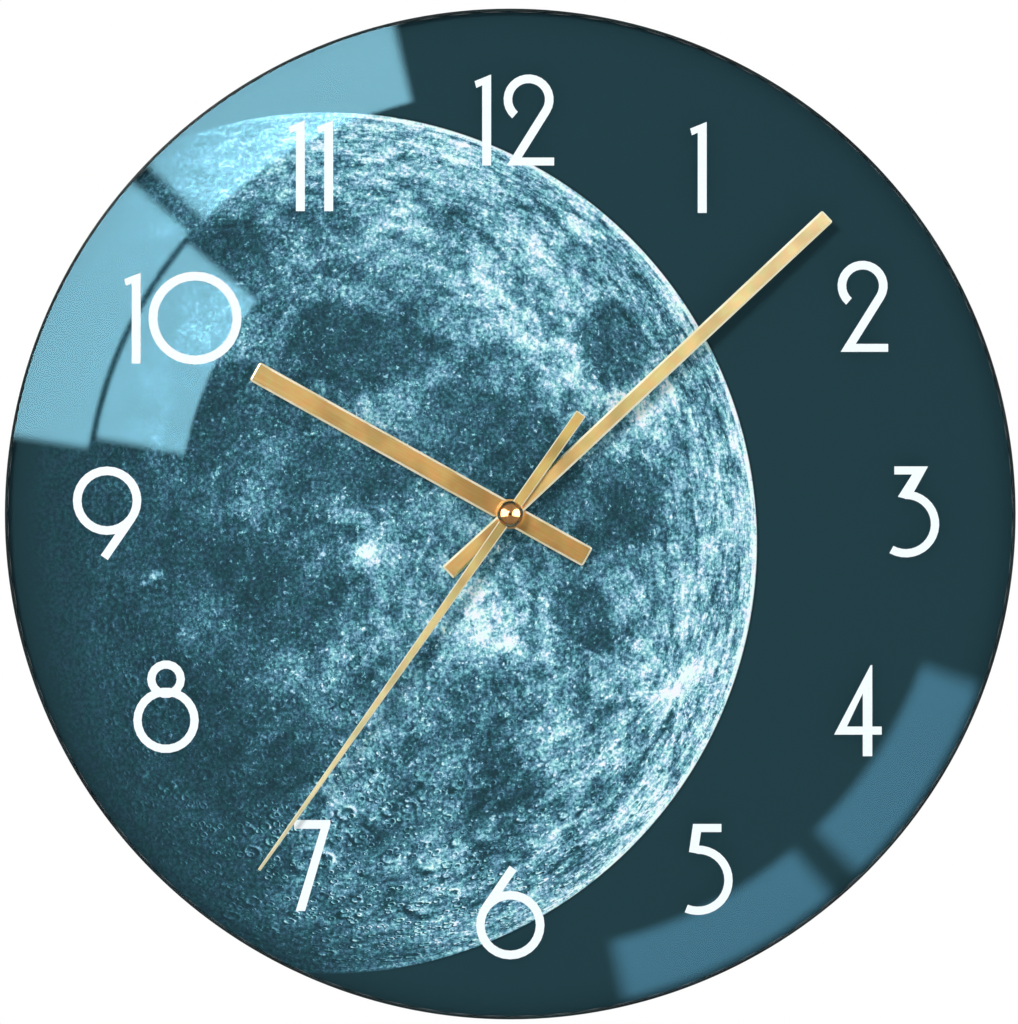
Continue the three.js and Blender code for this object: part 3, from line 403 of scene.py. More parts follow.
# The printed film: a dark blue-green ground and the moon, lit from the right
moon = {
    "centre": (-54.8, -8.63),
    "radius": 128.1,
    "sun": (0.785, 0.618, 0.04),
    "ground": tint(36, 62, 70),
    "backCoat": tint(24, 30, 34),
    "warp": 0.085,
    # right, up, half length, half width, turn in degrees, depth, softness, in moon radii
    "plains": [
        (0.664, 0.459, 0.086, 0.109, 12, 0.48, 0.09),
        (0.091, 0.459, 0.174, 0.097, -8, 0.44, 0.16),
        (0.01, 0.493, 0.081, 0.081, 0, 0.26, 0.22),
        (0.381, 0.25, 0.197, 0.116, -28, 0.46, 0.18),
        (0.173, 0.158, 0.162, 0.093, -10, 0.36, 0.5),
        (0.508, 0.123, 0.104, 0.069, 0, 0.4, 0.4),
        (0.71, 0.1, 0.093, 0.102, 0, 0.48, 0.16),
        (0.589, -0.167, 0.079, 0.088, 0, 0.5, 0.14),
        (0.793, -0.136, 0.037, 0.056, 0, 0.4, 0.4),
        (-0.094, -0.109, 0.14, 0.174, 10, 0.56, 0.5),
        (-0.337, -0.004, 0.139, 0.139, 0, 0.3, 0.7),
        (-0.256, 0.273, 0.104, 0.139, 0, 0.4, 0.6),
        (-0.256, 0.667, 0.151, 0.088, 20, 0.5, 0.5),
        (0.161, 0.598, 0.127, 0.051, -15, 0.28, 0.5),
        (-0.2, -0.45, 0.2, 0.17, -20, 0.5, 0.3),
        (0.335, 0.818, 0.139, 0.028, -25, 0.2, 0.6),
        (0.02, -0.58, 0.6, 0.3, 12, 0.2, 0.5),
        (0.6, 0.0, 0.16, 0.12, 0, 0.16, 0.7),
        (-0.29, -0.2, 0.15, 0.13, 0, 0.28, 0.6),
        (0.02, 0.15, 0.14, 0.09, -10, 0.32, 0.4),
    ],
    "highlands": [
        (0.45, 0.598, 0.139, 0.151, 0, 0.16, 0.8),
        (0.571, 0.406, 0.144, 0.035, -38, 0.34, 0.5),
        (0.752, 0.308, 0.104, 0.046, -10, 0.2, 0.6),
        (0.925, 0.169, 0.051, 0.139, 10, 0.15, 0.7),
        (0.821, -0.34, 0.046, 0.032, 20, 0.4, 0.7),
        (0.844, -0.248, 0.093, 0.139, -10, 0.12, 0.8),
        (0.381, -0.183, 0.134, 0.097, -20, 0.2, 0.8),
        (0.335, -0.15, 0.021, 0.016, 0, 0.45, 0.6),
        (0.42, -0.243, 0.032, 0.019, 0, 0.4, 0.6),
        (0.08, -0.03, 0.032, 0.025, 0, 0.34, 0.6),
        (0.1, 0.053, 0.104, 0.051, 0, 0.1, 0.8),
        (0.03, -0.24, 0.051, 0.028, 0, 0.26, 0.7),
        (-0.129, -0.259, 0.074, 0.042, 0, 0.1, 0.8),
        (-0.402, -0.074, 0.019, 0.019, 0, 0.7, 0.5),
        (0.08, 0.91, 0.278, 0.065, -5, 0.2, 0.8),
        (-0.244, 0.887, 0.139, 0.069, 30, 0.25, 0.8),
    ],
    # cells per moon radius, share of cells with a crater, depth of shade
    "craters": [(7.5, 0.4, 0.3), (19.0, 0.7, 0.5), (46.0, 0.8, 0.6)],
    # small young craters that show as pale dots: cells per moon radius, share of cells, height
    "dots": (15.0, 0.4, 0.4),
    # a young crater near the right edge throws pale rays over its surroundings
    "rayCentre": (0.821, -0.34),
    "rayReach": 0.62,
    "rayHeight": 0.24,
    "northGlow": 0.22,
    "base": 0.47,
    # patterns: cells per moon radius, and how far each lifts or lowers the tone
    "raggedCells": 7.0,
    "mottleCells": 6.0,
    "mottleDepth": 0.32,
    "fineCells": 24.0,
    "fineDepth": 0.17,
    "edgeStreakDepth": 0.3,
    "slant": 42,
    "slantStretch": (0.22, 1.0, 0.045),
    "slantDepth": 0.11,
    "grainCells": 112.0,
    "grainOnDark": 0.12,
    "grainOnPale": 0.21,
    "speckCells": 74.0,
    "speckHeight": 0.44,
    "hueCells": 34.0,
    "shadowGround": tint(14, 28, 34),
    "backCoatPale": tint(31, 39, 44),
    "palette": [
        (0.0, tint(36, 62, 70)),
        (0.22, tint(47, 83, 96)),
        (0.4, tint(72, 119, 138)),
        (0.56, tint(110, 166, 187)),
        (0.72, tint(152, 206, 222)),
        (0.88, tint(205, 238, 247)),
        (1.0, tint(246, 253, 255)),
    ],
}


def spots(tree, place, rows, gather):
    total = 1.0 if gather == "MULTIPLY" else 0.0
    for right, up, halfLength, halfWidth, turn, depth, soft in rows:
        mapped = put(
            tree,
            "ShaderNodeMapping",
            {
                "Vector": place,
                "Location": (right, 0, up),
                "Rotation": (0, -math.radians(turn), 0),
                "Scale": (halfLength, 1, halfWidth),
            },
            vector_type="TEXTURE",
        ).outputs[0]
        reach = vectorCalc(tree, "LENGTH", mapped).outputs["Value"]
        low, high = (1.0, 1 - depth) if gather == "MULTIPLY" else (0.0, depth)
        total = calc(tree, gather, total, fade(tree, reach, 1 + soft, 1 - soft, low, high))
    return total


def craterShade(tree, direction, sun, scale, share, strength):
    cells = put(tree, "ShaderNodeTexVoronoi", {"Vector": direction, "Scale": scale})
    offset = vectorCalc(tree, "SUBTRACT", direction, cells.outputs["Position"]).outputs[0]
    away = vectorCalc(tree, "NORMALIZE", offset).outputs[0]
    toSun = vectorCalc(tree, "DOT_PRODUCT", away, sun).outputs["Value"]
    chance = put(tree, "ShaderNodeSeparateColor", {0: cells.outputs["Color"]})
    size = fade(tree, chance.outputs[0], 0.0, 1.0, 0.14, 0.42, "LINEAR")
    reach = calc(tree, "DIVIDE", cells.outputs["Distance"], calc(tree, "MULTIPLY", size, 2.0))
    profile = [(0.0, 0.5), (0.18, 0.42), (0.42, 0.02), (0.5, 0.62), (0.56, 0.98), (0.78, 0.5)]
    slope = stops(tree, reach, [(at, grey(level)) for at, level in profile])
    slope = calc(tree, "MULTIPLY_ADD", slope, 2.0, -1.0)
    kept = calc(tree, "LESS_THAN", chance.outputs[1], share)
    shade = calc(tree, "MULTIPLY", calc(tree, "MULTIPLY", slope, toSun), kept)
    return calc(tree, "MULTIPLY", shade, strength)


def paleDots(tree, direction):
    cellCount, share, height = moon["dots"]
    cells = put(tree, "ShaderNodeTexVoronoi", {"Vector": direction, "Scale": cellCount})
    chance = put(tree, "ShaderNodeSeparateColor", {0: cells.outputs["Color"]})
    size = fade(tree, chance.outputs[0], 0.0, 1.0, 0.06, 0.15, "LINEAR")
    spot = fade(tree, calc(tree, "DIVIDE", cells.outputs["Distance"], size), 1.0, 0.3)
    kept = calc(tree, "LESS_THAN", chance.outputs[1], share)
    return calc(tree, "MULTIPLY", calc(tree, "MULTIPLY", spot, kept), height)


def paleRays(tree, flat):
    right, up = moon["rayCentre"]
    offset = vectorCalc(tree, "SUBTRACT", flat, (right, 0.0, up)).outputs[0]
    parts = put(tree, "ShaderNodeSeparateXYZ", {0: offset})
    turn = calc(tree, "ARCTAN2", parts.outputs["Z"], calc(tree, "MULTIPLY", parts.outputs["X"], -1.0))
    reach = vectorCalc(tree, "LENGTH", offset).outputs["Value"]
    turns = calc(tree, "MULTIPLY", turn, 9.0)
    band = put(tree, "ShaderNodeCombineXYZ", {0: turns, 1: calc(tree, "MULTIPLY", reach, 5.0)})
    rays = noise(tree, band.outputs[0], 1.0, 3.0, 0.6).outputs["Fac"]
    rays = fade(tree, rays, 0.46, 0.68, 0.0, moon["rayHeight"])
    return calc(tree, "MULTIPLY", rays, fade(tree, reach, moon["rayReach"], 0.04))


def moonPrint():
    material, tree, output, place = newMaterial("moonPrint")
    scale = 1 / (moon["radius"] * mm)
    shift = [-part * mm * scale for part in moon["centre"]]
    flat = put(
        tree,
        "ShaderNodeMapping",
        {"Vector": place, "Location": (shift[0], 0, shift[1]), "Scale": (scale, 0, scale)},
    ).outputs[0]
    reach = vectorCalc(tree, "LENGTH", flat).outputs["Value"]
    height = calc(tree, "SUBTRACT", 1.0, calc(tree, "MULTIPLY", reach, reach))
    height = calc(tree, "SQRT", calc(tree, "MAXIMUM", height, 0.0))
    parts = put(tree, "ShaderNodeSeparateXYZ", {0: flat})
    direction = put(
        tree,
        "ShaderNodeCombineXYZ",
        {0: parts.outputs["X"], 1: calc(tree, "MULTIPLY", height, -1.0), 2: parts.outputs["Z"]},
    ).outputs[0]
    right, out, up = moon["sun"]
    sun = (right, -out, up)
    light = vectorCalc(tree, "DOT_PRODUCT", direction, sun).outputs["Value"]
    light = calc(tree, "ADD", light, fade(tree, parts.outputs["Z"], 0.4, 1.0, 0.0, moon["northGlow"]))

    # Dark plains and bright ground, with ragged edges
    ragged = noise(tree, direction, moon["raggedCells"], 8.0, 0.66).outputs["Color"]
    ragged = vectorCalc(tree, "SUBTRACT", ragged, (0.5, 0.5, 0.5)).outputs[0]
    amount = 2 * moon["warp"]
    warped = vectorCalc(tree, "MULTIPLY_ADD", ragged, (amount, 0, amount), flat).outputs[0]
    dark = spots(tree, warped, moon["plains"], "MULTIPLY")
    bright = spots(tree, warped, moon["highlands"], "ADD")
    mottle = noise(tree, direction, moon["mottleCells"], 10.0, 0.7, 0.25).outputs["Fac"]
    mottle = fade(tree, mottle, 0.3, 0.7, -moon["mottleDepth"], moon["mottleDepth"], "LINEAR")
    fine = noise(tree, direction, moon["fineCells"], 5.0, 0.7).outputs["Fac"]
    fine = fade(tree, fine, 0.32, 0.68, -moon["fineDepth"], moon["fineDepth"], "LINEAR")
    ground = calc(tree, "ADD", calc(tree, "ADD", moon["base"], mottle), fine)
    ground = calc(tree, "MULTIPLY", ground, dark)
    broken = fade(tree, fine, -0.15, 0.15, 0.45, 1.3, "LINEAR")
    ground = calc(tree, "ADD", ground, calc(tree, "MULTIPLY", bright, broken))
    ground = calc(tree, "ADD", ground, paleDots(tree, direction))

    # Craters show most in rough ground, towards the south and where the light is low
    craters = 0.0
    for cells, share, strength in moon["craters"]:
        craters = calc(tree, "ADD", craters, craterShade(tree, direction, sun, cells, share, strength))
    low = fade(tree, light, 0.1, 0.75, 1.35, 0.5)
    south = fade(tree, parts.outputs["Z"], 0.1, -0.75, 0.4, 1.5)
    rough = calc(tree, "MULTIPLY", calc(tree, "MULTIPLY", low, south), fade(tree, dark, 0.5, 0.95, 0.35, 1.0))
    craters = calc(tree, "MULTIPLY", craters, rough)

    # Streaks that lie along the right edge, where the ground is seen at a low angle
    turn = calc(tree, "ARCTAN2", parts.outputs["X"], parts.outputs["Z"])
    turns = calc(tree, "MULTIPLY", turn, 11.0)
    band = put(tree, "ShaderNodeCombineXYZ", {0: turns, 1: calc(tree, "MULTIPLY", reach, 60.0)})
    streaks = noise(tree, band.outputs[0], 1.0, 5.0, 0.65).outputs["Fac"]
    streaks = fade(tree, streaks, 0.32, 0.68, -moon["edgeStreakDepth"], moon["edgeStreakDepth"], "LINEAR")
    side = calc(tree, "MULTIPLY", fade(tree, reach, 0.7, 0.96), fade(tree, light, 0.15, 0.6))
    streaks = calc(tree, "MULTIPLY", streaks, side)

    # Slanting streaks over the south
    drawn = put(
        tree,
        "ShaderNodeMapping",
        {"Vector": flat, "Rotation": (0, -math.radians(moon["slant"]), 0), "Scale": moon["slantStretch"]},
        vector_type="TEXTURE",
    ).outputs[0]
    slanted = noise(tree, drawn, 1.0, 5.0, 0.6).outputs["Fac"]
    slanted = fade(tree, slanted, 0.34, 0.66, -moon["slantDepth"], moon["slantDepth"], "LINEAR")
    slanted = calc(tree, "MULTIPLY", slanted, south)
    streaks = calc(tree, "ADD", streaks, calc(tree, "MULTIPLY", slanted, fade(tree, light, 0.1, 0.6)))

    tone = calc(tree, "ADD", ground, calc(tree, "ADD", craters, streaks))
    tone = calc(tree, "ADD", tone, paleRays(tree, flat))
    tone = calc(tree, "ADD", tone, fade(tree, reach, 0.72, 1.0, 0.0, 0.1, "LINEAR"))
    tone = calc(tree, "ADD", tone, fade(tree, reach, 0.955, 0.985, 0.0, 0.12))
    tone = calc(tree, "ADD", tone, fade(tree, reach, 0.988, 0.9915, 0.0, 0.32))
    lit = fade(tree, light, -0.2, 0.62, 0.0, 1.0)
    tone = calc(tree, "MULTIPLY", tone, lit)

    # The film's own coarse grain, with pale specks that stand out most on dark ground
    grain = noise(tree, flat, moon["grainCells"], 2.0, 0.65, 0.2).outputs["Fac"]
    grain = fade(tree, grain, 0.36, 0.64, -1.0, 1.0, "LINEAR")
    strength = fade(tree, tone, 0.0, 0.6, moon["grainOnDark"], moon["grainOnPale"], "LINEAR")
    strength = calc(tree, "MULTIPLY", strength, fade(tree, light, -0.15, 0.12, 0.25, 1.0))
    specks = noise(tree, direction, moon["speckCells"], 3.0, 0.7).outputs["Fac"]
    specks = calc(tree, "MULTIPLY", fade(tree, specks, 0.58, 0.69, 0.0, moon["speckHeight"]), lit)
    tone = calc(tree, "ADD", calc(tree, "ADD", tone, specks), calc(tree, "MULTIPLY", grain, strength))

    face = stops(tree, tone, moon["palette"])
    hue = fade(tree, noise(tree, flat, moon["hueCells"], 3.0, 0.6).outputs["Fac"], 0.38, 0.62)
    shift = colourMix(tree, hue, (0.88, 1.0, 0.95, 1.0), (1.0, 0.93, 1.0, 1.0))
    face = colourMix(tree, 1.0, face, shift, "MULTIPLY")
    disc = fade(tree, reach, 1.0015, 0.9985)
    edge = calc(tree, "MULTIPLY", disc, fade(tree, lit, 0.0, 0.1))
    halo = calc(tree, "MULTIPLY", fade(tree, reach, 1.008, 1.002), fade(tree, light, 0.0, 0.3))
    ground = colourMix(tree, calc(tree, "MULTIPLY", halo, 0.5), moon["ground"], moon["shadowGround"])
    face = colourMix(tree, edge, ground, face)
    geometry = put(tree, "ShaderNodeNewGeometry")
    normal = put(tree, "ShaderNodeSeparateXYZ", {0: geometry.outputs["True Normal"]})
    rear = calc(tree, "GREATER_THAN", normal.outputs["Y"], 0.5)
    coat = noise(tree, place, 900.0, 3.0).outputs["Fac"]
    coat = colourMix(tree, fade(tree, coat, 0.35, 0.65), moon["backCoat"], moon["backCoatPale"])
    colour = colourMix(tree, rear, face, coat)
    shader = put(
        tree,
        "ShaderNodeBsdfPrincipled",
        {"Base Color": colour, "Roughness": 0.6, "Specular IOR Level": 0.0},
    )
    surface(tree, output, shader)
    return material


# Clear glass over the print, in mm: it mirrors at its front face only, and its rim is dark from where
# the print ends
pane = {
    "radius": 150.0,
    "hole": 4.0,
    "backGap": 0.03,
    "edge": 0.45,
    "sides": 256,
    "haze": 0.012,
    "rimStart": 149.25,
    "rimFull": 149.4,
    "rimColour": tint(12, 24, 27),
    "rimDepths": tint(20, 40, 43),
}


def glassMaterial():
    material, tree, output, place = newMaterial("clearGlass")
    parts = put(tree, "ShaderNodeSeparateXYZ", {0: place})
    middle = (glassLow.y + glassHigh.y) / 2
    front = fade(tree, parts.outputs["Y"], middle + 0.2 * mm, middle - 0.2 * mm)
    wipe = noise(tree, place, 22.0, 3.0).outputs["Fac"]
    haze = fade(tree, wipe, 0.3, 0.7, 0.0, pane["haze"])
    gloss = put(tree, "ShaderNodeBsdfGlossy", {"Color": grey(1.0), "Roughness": haze})
    clear = put(tree, "ShaderNodeBsdfTransparent", {"Color": (0.985, 0.995, 0.992, 1.0)})
    mirror = calc(tree, "MULTIPLY", put(tree, "ShaderNodeFresnel", {"IOR": 1.5}).outputs[0], front)
    outside = calc(tree, "SUBTRACT", 1.0, put(tree, "ShaderNodeNewGeometry").outputs["Backfacing"])
    mirror = calc(tree, "MULTIPLY", mirror, outside)
    sheet = put(tree, "ShaderNodeMixShader", {0: mirror, 1: clear.outputs[0], 2: gloss.outputs[0]})
    flat = put(tree, "ShaderNodeCombineXYZ", {0: parts.outputs["X"], 1: 0.0, 2: parts.outputs["Z"]})
    reach = vectorCalc(tree, "LENGTH", flat.outputs[0]).outputs["Value"]
    cloud = noise(tree, place, 40.0, 3.0).outputs["Fac"]
    depth = colourMix(tree, fade(tree, cloud, 0.35, 0.65), pane["rimColour"], pane["rimDepths"])
    rim = put(
        tree,
        "ShaderNodeBsdfPrincipled",
        {"Base Color": depth, "Roughness": 0.22, "Specular IOR Level": 0.12},
    )
    wall = fade(tree, reach, pane["rimStart"] * mm, pane["rimFull"] * mm)
    surface(tree, output, put(tree, "ShaderNodeMixShader", {0: wall, 1: sheet.outputs[0], 2: rim.outputs[0]}))
    return material


def makeGlass():
    hole = pane["hole"] * mm
    radius = pane["radius"] * mm
    back = glassHigh.y - pane["backGap"] * mm
    flatEnd = radius - 2 * pane["edge"] * mm
    flatStart = hole + 2 * pane["edge"] * mm
    rings = [(hole, back), (flatStart, back), (flatEnd, back), (radius, back)]
    rings += [(radius, glassFace), (flatEnd, glassFace), (flatStart, glassFace)]
    rings += [(hole, glassFace), (hole, back)]
    glass = turnedPiece("glassDisc", rings, pane["sides"])
    roundEdges(glass, pane["edge"] * mm, 4, 40)
    smooth(glass, 40)
    dress(glass, "dial_and_movement", "dial_glass", glassMaterial(), "dial_glass")
    return glass


glassDisc = makeGlass()
linked = bpy.data.collections.new("glassOnly")
linked.objects.link(glassDisc)
card.light_linking.receiver_collection = linked
print("clock: glass made")


# Finishes of the CAD nodes, by material slot
def moulded(name, dark, pale, roughness, grain=2200.0, depth=0.02):
    material, tree, output, place = newMaterial(name)
    texture = noise(tree, place, grain, 2.0, 0.6).outputs["Fac"]
    flow = noise(tree, place, 35.0, 4.0, 0.55).outputs["Fac"]
    colour = colourMix(tree, fade(tree, flow, 0.3, 0.7), dark, pale)
    shine = fade(tree, flow, 0.3, 0.7, roughness - 0.05, roughness + 0.07)
    normal = bump(tree, texture, depth * mm, 0.6)
    surface(
        tree,
        output,
        put(tree, "ShaderNodeBsdfPrincipled", {"Base Color": colour, "Roughness": shine, "Normal": normal}),
    )
    return material


def rolledMetal(name, dark, pale, roughness, stretch=60.0, depth=0.004, scale=180.0):
    material, tree, output, place = newMaterial(name)
    drawn = put(tree, "ShaderNodeMapping", {"Vector": place, "Scale": (stretch, 4.0, 1.0)}).outputs[0]
    lines = noise(tree, drawn, scale, 4.0, 0.6).outputs["Fac"]
    stain = noise(tree, place, 90.0, 4.0, 0.6).outputs["Fac"]
    colour = colourMix(tree, fade(tree, lines, 0.3, 0.7), dark, pale)
    shine = fade(tree, stain, 0.3, 0.7, roughness - 0.06, roughness + 0.08)
    normal = bump(tree, lines, depth * mm, 0.5)
    surface(
        tree,
        output,
        put(
            tree,
            "ShaderNodeBsdfPrincipled",
            {"Base Color": colour, "Metallic": 1.0, "Roughness": shine, "Normal": normal},
        ),
    )
    return material


def inkMaterial():
    material, tree, output, place = newMaterial("whiteInk")
    grain = noise(tree, place, 1500.0, 3.0, 0.6).outputs["Fac"]
    colour = colourMix(tree, fade(tree, grain, 0.3, 0.7), tint(231, 243, 247), tint(241, 249, 251))
    normal = bump(tree, grain, 0.01 * mm, 0.3)
    surface(
        tree,
        output,
        put(
            tree,
            "ShaderNodeBsdfPrincipled",
            {"Base Color": colour, "Roughness": 0.5, "Specular IOR Level": 0.2, "Normal": normal},
        ),
    )
    return material


def foamMaterial():
    material, tree, output, place = newMaterial("foamTape")
    cells = put(tree, "ShaderNodeTexVoronoi", {"Vector": place, "Scale": 2600.0}).outputs["Distance"]
    colour = colourMix(tree, fade(tree, cells, 0.1, 0.6), tint(222, 221, 212), tint(196, 195, 186))
    normal = bump(tree, cells, 0.06 * mm, 0.7)
    surface(
        tree,
        output,
        put(tree, "ShaderNodeBsdfPrincipled", {"Base Color": colour, "Roughness": 0.9, "Normal": normal}),
    )
    return material


def windingMaterial():
    material, tree, output, place = newMaterial("copperWinding")
    wave = put(tree, "ShaderNodeTexWave", {"Vector": place, "Scale": 1500.0, "Distortion": 0.4})
    turns = wave.outputs["Fac"]
    # Painted shade: the copper is darker between the turns, where shade falls in the grooves; the bump gives
    # the turns their relief
    colour = colourMix(tree, turns, tint(116, 62, 26), tint(206, 128, 62))
    normal = bump(tree, turns, 0.05 * mm, 0.8)
    surface(
        tree,
        output,
        put(
            tree,
            "ShaderNodeBsdfPrincipled",
            {"Base Color": colour, "Metallic": 0.7, "Roughness": 0.34, "Coat Weight": 0.4, "Normal": normal},
        ),
    )
    return material


def boardMaterial():
    material, tree, output, place = newMaterial("lacqueredBoard")
    tracks = put(
        tree,
        "ShaderNodeTexBrick",
        {
            "Vector": place,
            "Scale": 160.0,
            "Mortar Size": 0.12,
            "Color1": grey(0.0),
            "Color2": grey(0.15),
            "Mortar": grey(1.0),
        },
    ).outputs["Color"]
    weave = noise(tree, place, 1600.0, 2.0).outputs["Fac"]
    base = colourMix(tree, fade(tree, weave, 0.3, 0.7), tint(30, 92, 56), tint(44, 118, 74))
    colour = colourMix(tree, tracks, base, tint(86, 142, 84))
    normal = bump(tree, tracks, 0.03 * mm)
    surface(
        tree,
        output,
        put(
            tree,
            "ShaderNodeBsdfPrincipled",
            {"Base Color": colour, "Roughness": 0.35, "Coat Weight": 0.5, "Normal": normal},
        ),
    )
    return material


blackPlastic = moulded("blackCase", tint(27, 28, 31), tint(37, 39, 42), 0.55, 2400.0, 0.025)
greyPlastic = moulded("greyCarrier", tint(66, 69, 72), tint(82, 85, 88), 0.5)
nylon = moulded("whiteNylon", tint(222, 217, 202), tint(240, 236, 224), 0.45, 1600.0, 0.01)
padRubber = moulded("softPad", tint(146, 152, 152), tint(168, 174, 174), 0.78, 1800.0, 0.03)
magnetGrey = moulded("bondedMagnet", tint(60, 63, 67), tint(84, 88, 92), 0.4, 3000.0, 0.015)
steel = rolledMetal("rolledSteel", tint(150, 154, 158), tint(190, 194, 197), 0.36)
brass = rolledMetal("machinedBrass", tint(184, 142, 82), tint(222, 184, 120), 0.28, 20.0, 0.003)
inkWhite = inkMaterial()
slotFinish = {
    "printed_film": moonPrint(),
    "white_ink": inkWhite,
    "foam": foamMaterial(),
    "grey_plastic": greyPlastic,
    "black_plastic": blackPlastic,
    "nylon": nylon,
    "pad_rubber": padRubber,
    "steel": steel,
    "brass": brass,
    "copper_wire": windingMaterial(),
    "board": boardMaterial(),
    "magnet": magnetGrey,
}
for row in frame["record"]["subparts"]:
    finish = slotFinish.get(row["material_slot"])
    if finish:
        nodes[row["node"]].material_slots[0].material = finish
# The figures are thin ink, so they throw no shadow
for name, node in nodes.items():
    if name.startswith("numeral_"):
        node.visible_shadow = False
print("clock: finishes laid on")

# Hands: half widths, reach and tail in mm, angle in degrees clockwise from twelve; the gold's change from
# pivot to tip is painted light and shade, and the pale bevels are partly a polished finish and partly a
# painted highlight
hands = {
    "hour": {
        "node": "hour_hand",
        "slot": "gold_metal",
        "reach": 86.9,
        "tail": 26.3,
        "tipHalf": 3.15,
        "middleHalf": 3.15,
        "tailHalf": 3.15,
        "corner": 0.8,
        "edge": 0.68,
        "rise": 0.3,
        "blade": 0.5,
        "angle": 299.2,
        "collar": 4.4,
        "bore": 2.55,
        "colours": [(0.0, tint(196, 152, 88)), (1.0, tint(172, 142, 88))],
        "bevelGoldAndHighlight": tint(212, 200, 158),
    },
    "minute": {
        "node": "minute_hand",
        "slot": "pale_gold_metal",
        "reach": 128.9,
        "tail": 25.4,
        "tipHalf": 2.3,
        "middleHalf": 2.1,
        "tailHalf": 2.45,
        "corner": 0.6,
        "edge": 0.62,
        "rise": 0.3,
        "blade": 0.5,
        "angle": 46.8,
        "collar": 3.25,
        "bore": 1.6,
        "colours": [(0.0, tint(214, 174, 108)), (0.5, tint(226, 202, 138)), (1.0, tint(246, 222, 168))],
        "bevelGoldAndHighlight": tint(230, 224, 184),
    },
    "second": {
        "node": "second_hand",
        "slot": "gold_aluminium",
        "reach": 129.0,
        "tail": 36.4,
        "tipHalf": 0.45,
        "middleHalf": 1.55,
        "tailHalf": 1.65,
        "corner": 0.3,
        "edge": 0.32,
        "rise": 0.2,
        "blade": 0.35,
        "angle": 215.2,
        "collar": 2.3,
        "bore": 0.65,
        "colours": [(0.0, tint(206, 176, 106)), (0.4, tint(222, 206, 150)), (1.0, tint(236, 226, 184))],
        "bevelGoldAndHighlight": tint(224, 216, 176),
    },
}


def handMaterial(name, size):
    material, tree, output, place = newMaterial(name + "HandGold")
    own = put(
        tree,
        "ShaderNodeMapping",
        {"Vector": place, "Rotation": (0, math.radians(size["angle"]), 0)},
        vector_type="TEXTURE",
    ).outputs[0]
    length = put(tree, "ShaderNodeSeparateXYZ", {0: own}).outputs["Z"]
    along = fade(tree, length, 0.0, size["reach"] * mm, 0.0, 1.0, "LINEAR")
    drawn = put(tree, "ShaderNodeMapping", {"Vector": own, "Scale": (14.0, 14.0, 0.35)}).outputs[0]
    lines = noise(tree, drawn, 260.0, 4.0, 0.65).outputs["Fac"]
    cloud = noise(tree, place, 70.0, 3.0).outputs["Fac"]
    # Painted light and shade: the gold turns paler or darker from pivot to tip
    colour = stops(tree, along, size["colours"])
    colour = colourMix(tree, fade(tree, lines, 0.3, 0.7, 0.0, 0.08), colour, tint(255, 240, 206))
    mottle = noise(tree, place, 420.0, 4.0, 0.6).outputs["Fac"]
    hue = colourMix(tree, fade(tree, mottle, 0.36, 0.64), (1.0, 0.9, 0.86, 1.0), (0.92, 1.0, 0.92, 1.0))
    colour = colourMix(tree, 1.0, colour, hue, "MULTIPLY")
    shine = fade(tree, cloud, 0.3, 0.7, 0.3, 0.38)
    normal = bump(tree, lines, 0.004 * mm, 0.4)
    surface(
        tree,
        output,
        put(
            tree,
            "ShaderNodeBsdfPrincipled",
            {"Base Color": colour, "Metallic": 1.0, "Roughness": shine, "Normal": normal},
        ),
    )
    return material


def bevelFinishAndHighlight(name, size):
    material, tree, output, place = newMaterial(name + "HandBevelAndHighlight")
    cloud = noise(tree, place, 160.0, 3.0).outputs["Fac"]
    # Painted highlight: the bevels' pale cream, paler still in patches, is partly a polished edge finish and
    # partly a painted highlight
    colour = colourMix(tree, fade(tree, cloud, 0.3, 0.7, 0.0, 0.3), size["bevelGoldAndHighlight"], grey(1.0))
    shine = fade(tree, cloud, 0.3, 0.7, 0.2, 0.28)
    surface(
        tree,
        output,
        put(tree, "ShaderNodeBsdfPrincipled", {"Base Color": colour, "Metallic": 1.0, "Roughness": shine}),
    )
    return material


def selectEdges(piece, test):
    bpy.ops.mesh.select_all(action="DESELECT")
    bpy.ops.object.mode_set(mode="OBJECT")
    vertices = piece.data.vertices
    for edge in piece.data.edges:
        edge.select = test(vertices[edge.vertices[0]].co, vertices[edge.vertices[1]].co)
    bpy.ops.object.mode_set(mode="EDIT")


def selectFaces(piece, test):
    bpy.ops.mesh.select_all(action="DESELECT")
    bpy.ops.object.mode_set(mode="OBJECT")
    for face in piece.data.polygons:
        face.select = test(face)
    bpy.ops.object.mode_set(mode="EDIT")


def selectVertices(piece, test):
    bpy.ops.mesh.select_all(action="DESELECT")
    bpy.ops.object.mode_set(mode="OBJECT")
    for vertex in piece.data.vertices:
        vertex.select = test(vertex.co)
    bpy.ops.object.mode_set(mode="EDIT")


# What all three hands share, in mm
handMake = {"collarProud": 0.5, "collarRound": 0.12, "collarSides": 64, "boreSides": 48}


